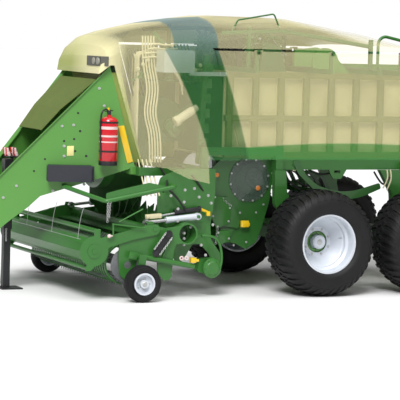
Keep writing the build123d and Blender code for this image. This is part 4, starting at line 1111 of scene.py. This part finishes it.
tubes("rear_strut_hoses", runs, 8, "pale_pipe")
hook = [(-150, -672, 1286), (-140, -676, 1240), (-110, -676, 1222), (-84, -676, 1240)]
tubes("cream_hook", [hook], 7, "pale_pipe")

# %% The parking rack and the jack's clip
rack = Shape().box((-2930, 100, 1304), (-2770, 262, 1318), 3)
rack.box((-2860, 170, 1180), (-2840, 210, 1306), 3)
rack.box((-2862, 180, 1190), (-2838, 300, 1214), 3)
rack.placed("parking_rack", "black")
pale, red = Shape(), Shape()
for coupling, y in ((pale, 122), (red, 164), (pale, 206), (red, 246)):
    for x in (-2900, -2820):
        coupling.bar((x, y, 1318), (x - 14, y, 1358), 17, 20, 3)
        coupling.bar((x - 14, y, 1358), (x - 22, y, 1400), 13, 20, 3, 10)
pale.placed("pale_couplings", "pale_label")
red.placed("red_couplings", "red")
clip = chain_links((-2990, -84, 610), (-2992, -86, 520), 5, 8)
clip.append([(-2992, -86, 522), (-2998, -88, 500), (-2990, -88, 478), (-2982, -88, 500)])
tubes("jack_clip", clip, 3, "bright_zinc", closed=True)
print("hoses and the parking rack done")

# %% [markdown]
# The works show through the ghosted shell.  They are built from the same small kit: pipes
# are curves, and flanges and hubs are turned.  The twine fingers are three bent tubes many
# times over, which gives the busy look of a knotter at a low cost.

# %% Twine fingers and wires
fingers, wires = [], []
for y in range(-540, 541, 90):
    fingers.append([(-560, y, 2380), (-560, y, 2500), (-500, y, 2612), (-400, y, 2626), (-330, y, 2560)])
    fingers.append([(-440, y + 22, 2400), (-380, y + 22, 2560), (-280, y + 22, 2600), (-190, y + 22, 2520)])
    fingers.append([(-300, y + 44, 2420), (-240, y + 44, 2500), (-180, y + 44, 2460)])
for y in range(-530, 439, 88):
    wires.append([(-640, y, 2420), (-520, y + 8, 2566), (-420, y, 2480)])
    wires.append([(-360, y, 2600), (-240, y + 6, 2440), (-160, y, 2390)])
tubes("twine_fingers", fingers, 10, "green_dark")
tubes("twine_wires", wires, 4, "bright_zinc")

# %% Knotter stacks and shafts
disc_pair = [(0, -34), (70, -34), (78, -26), (78, -8), (46, -4), (46, 14), (70, 18), (70, 34), (0, 34)]
stacks = Shape()
for y in range(-500, 501, 200):
    stacks.turned(disc_pair, (-360, y, 2420), steps=28)
    stacks.turned([(0, -26), (40, -26), (46, -18), (46, 18), (0, 22)], (-270, y + 30, 2500), steps=24)
    stacks.beam((-470, y, 2360), (-300, y, 2560), 26, 34, 5)
    stacks.beam((-300, y + 40, 2340), (-220, y + 40, 2500), 20, 30, 5)
stacks.placed("knotter_stacks", "works_green")
shafts = Shape()
for x, z, radius, sides in ((-360, 2420, 18, 20), (-500, 2560, 12, 16), (-230, 2340, 14, 16)):
    shafts.bar((x, -590, z), (x, 590, z), radius, sides, 2)
shafts.placed("knotter_shafts", "bright_zinc")

# %% Fans
fan_x, fan_z, blade_count, blade_lead = -680, 2480, 7, 0.4
fans = Shape()
for y in (-400, -150, 150, 400):
    for step in range(blade_count):
        root = step * 2 * pi / blade_count
        tip = root + blade_lead
        fans.beam((fan_x + cos(root) * 26, y - 14, fan_z + sin(root) * 26),
                  (fan_x + cos(tip) * 104, y + 14, fan_z + sin(tip) * 104), 6, 40, 2)
    fans.turned([(0, -24), (24, -24), (30, -16), (30, 16), (0, 24)], (fan_x, y, fan_z), steps=24)
fans.placed("fan_blades", "black")
print("knotters and fans done")

# %% [markdown]
# In front of the chamber a bundle of pale pipes climbs to the valves.  Five of the pipes
# are one curve repeated at one pitch; the valve blocks stand on one long bar.

# %% Pipes and lines
climb = [(0, -520, 2560), (4, -522, 2300), (60, -524, 2080), (60, -524, 1960), (32, -524, 1780),
         (110, -524, 1560), (110, -524, 1300)]
runs = shifted(climb, -1760, 30, 5)
for step in range(4):
    rise = 2340 + step * 44
    runs.append([(-1760 + step * 30, -530, rise), (-1640, -540, rise + 18), (-1500, -540, rise - 6),
                 (-1380, -520, rise + 10)])
    runs.append([(-1500 + step * 20, -530, rise), (-1420 + step * 24, -540, 2190),
                 (-1300, -500, 2100 - step * 40)])
tubes("pale_pipes", runs, 9, "pale_pipe")
front_line = [(-1860, -380, 2420), (-1830, -440, 2300), (-1850, -400, 2120), (-1800, -420, 1960)]
rear_line = [(-1400, -480, 2480), (-1360, -520, 2330), (-1300, -480, 2220), (-1240, -460, 2080)]
pairs = zip(shifted(front_line, 0, 36, 5), shifted(rear_line, 0, 36, 5))
tubes("dark_lines", [line for pair in pairs for line in pair], 9, "hose_black")

# %% Valves and fittings
valves = Shape()
for step in range(7):
    x, z = -1800 + step * 104, 2130 + step % 3 * 40
    valves.box((x, -500, z), (x + 70, -420, z + 80), 6)
    valves.bar((x + 35, -460, 2200), (x + 35, -460, 2300 + step % 2 * 50), 16, 16, 3)
    valves.bar((x + 20, -520, z + 20), (x + 20, -420, z + 20), 20, 16, 3)
valves.beam((-1840, -440, 2120), (-1060, -440, 2120), 60, 26, 4)
valves.beam((-1640, -520, 2600), (-1500, -520, 2440), 20, 40, 4)
valves.placed("valve_blocks", "works_green")
nuts = Shape()
for step in range(14):
    nuts.turned([(0, -14), (15, -14), (18, -8), (18, 10), (12, 14), (0, 14)],
                (-1800 + step * 52, -524, 2230 + step % 4 * 46), (0, 1, 0.2), 12)
nuts.placed("pipe_fittings", "pale_pipe")

# %% The gearbox flange, the angled cylinder and the column in the stripe
flange_x, flange_z = -1332, 1628
flange = Shape().turned([(0, -40), (40, -40), (48, -34), (52, -18), (88, -14), (96, -6), (96, 6),
                         (0, 6)], (flange_x, -424, flange_z), steps=40)
flange.bolt_circle((flange_x, -440, flange_z), 74, 8, 9)
flange.placed("gearbox_flange", "works_green")
ram = Shape().bar((-1385, -600, 1728), (-1230, -600, 1828), 44, 28, 5)
ram.bar((-1240, -600, 1822), (-1182, -600, 1860), 34, 28, 5)
ram.bar((-1420, -600, 1706), (-1380, -600, 1731), 52, 28, 5)
ram.placed("angled_cylinder", "pale_pipe")
column = Shape()
for step in range(7):
    x, z = -1180 + step * 8, 1300 + step * 150
    column.box((x, -640, z), (x + 100, -600, z + 96), 8)
    column.turned([(0, -8), (24, -8), (30, 0), (30, 8)], (x + 50, -640, z + 48), steps=20)
column.beam((-1160, -616, 1290), (-1100, -616, 2380), 30, 60, 5)
column.placed("stripe_column", "works_green")

# %% [markdown]
# The lamp recess lies on the hood's own front.  That front is curved, so a ray from ahead
# finds where it stands at each step across, and short beams follow it.

# %% The nose and the backdrop sheets
lamp_height = 2300


def front_at(y):
    """How far along the hood's front lies, at the lamps' height."""
    ahead = Vector((front_wheel.x - 4, y / 1000, lamp_height / 1000))
    found, place, _, _ = frame["nodes"]["hood"].ray_cast(ahead, Vector((1, 0, 0)))
    return (place.x - front_wheel.x) * 1000 if found else -2200


ends = [(front_at(y) - 6, y, lamp_height) for y in range(-620, -259, 40)]
print("recess on the hood's front", [round(end[0]) for end in ends])
# the recess is a dark grey band just ahead of the hood's front: its dark grey is painted shade
recess = Shape()
for start, end in zip(ends, ends[1:]):
    recess.beam(start, end, 20, 96)
recess.placed("lamp_recess_painted_shade", "satin_grey")
lamps = Shape()
for y in (-540, -440):
    lamps.turned([(0, -14), (26, -14), (34, -10), (38, 2), (0, 4)], (front_at(y) - 12, y, lamp_height),
                 (1, 0, 0), 28)
lamps.placed("nose_lamps", "lamp_grey")
sheets = Shape().plate([(-2106, 2190), (-1990, 2190), (-1740, 1300), (-1856, 1300)], -548, -540, 2)
sheets.plate([(-2098, 2190), (-2080, 2190), (-1832, 1300), (-1850, 1300)], -556, -546, 2)
sheets.plate([(-1340, 1280), (-890, 1280), (-890, 1640), (-1340, 1640)], 600, 606, 1)
sheets.placed("olive_column", "olive_sheet")
print("pipes, valves and the nose done")
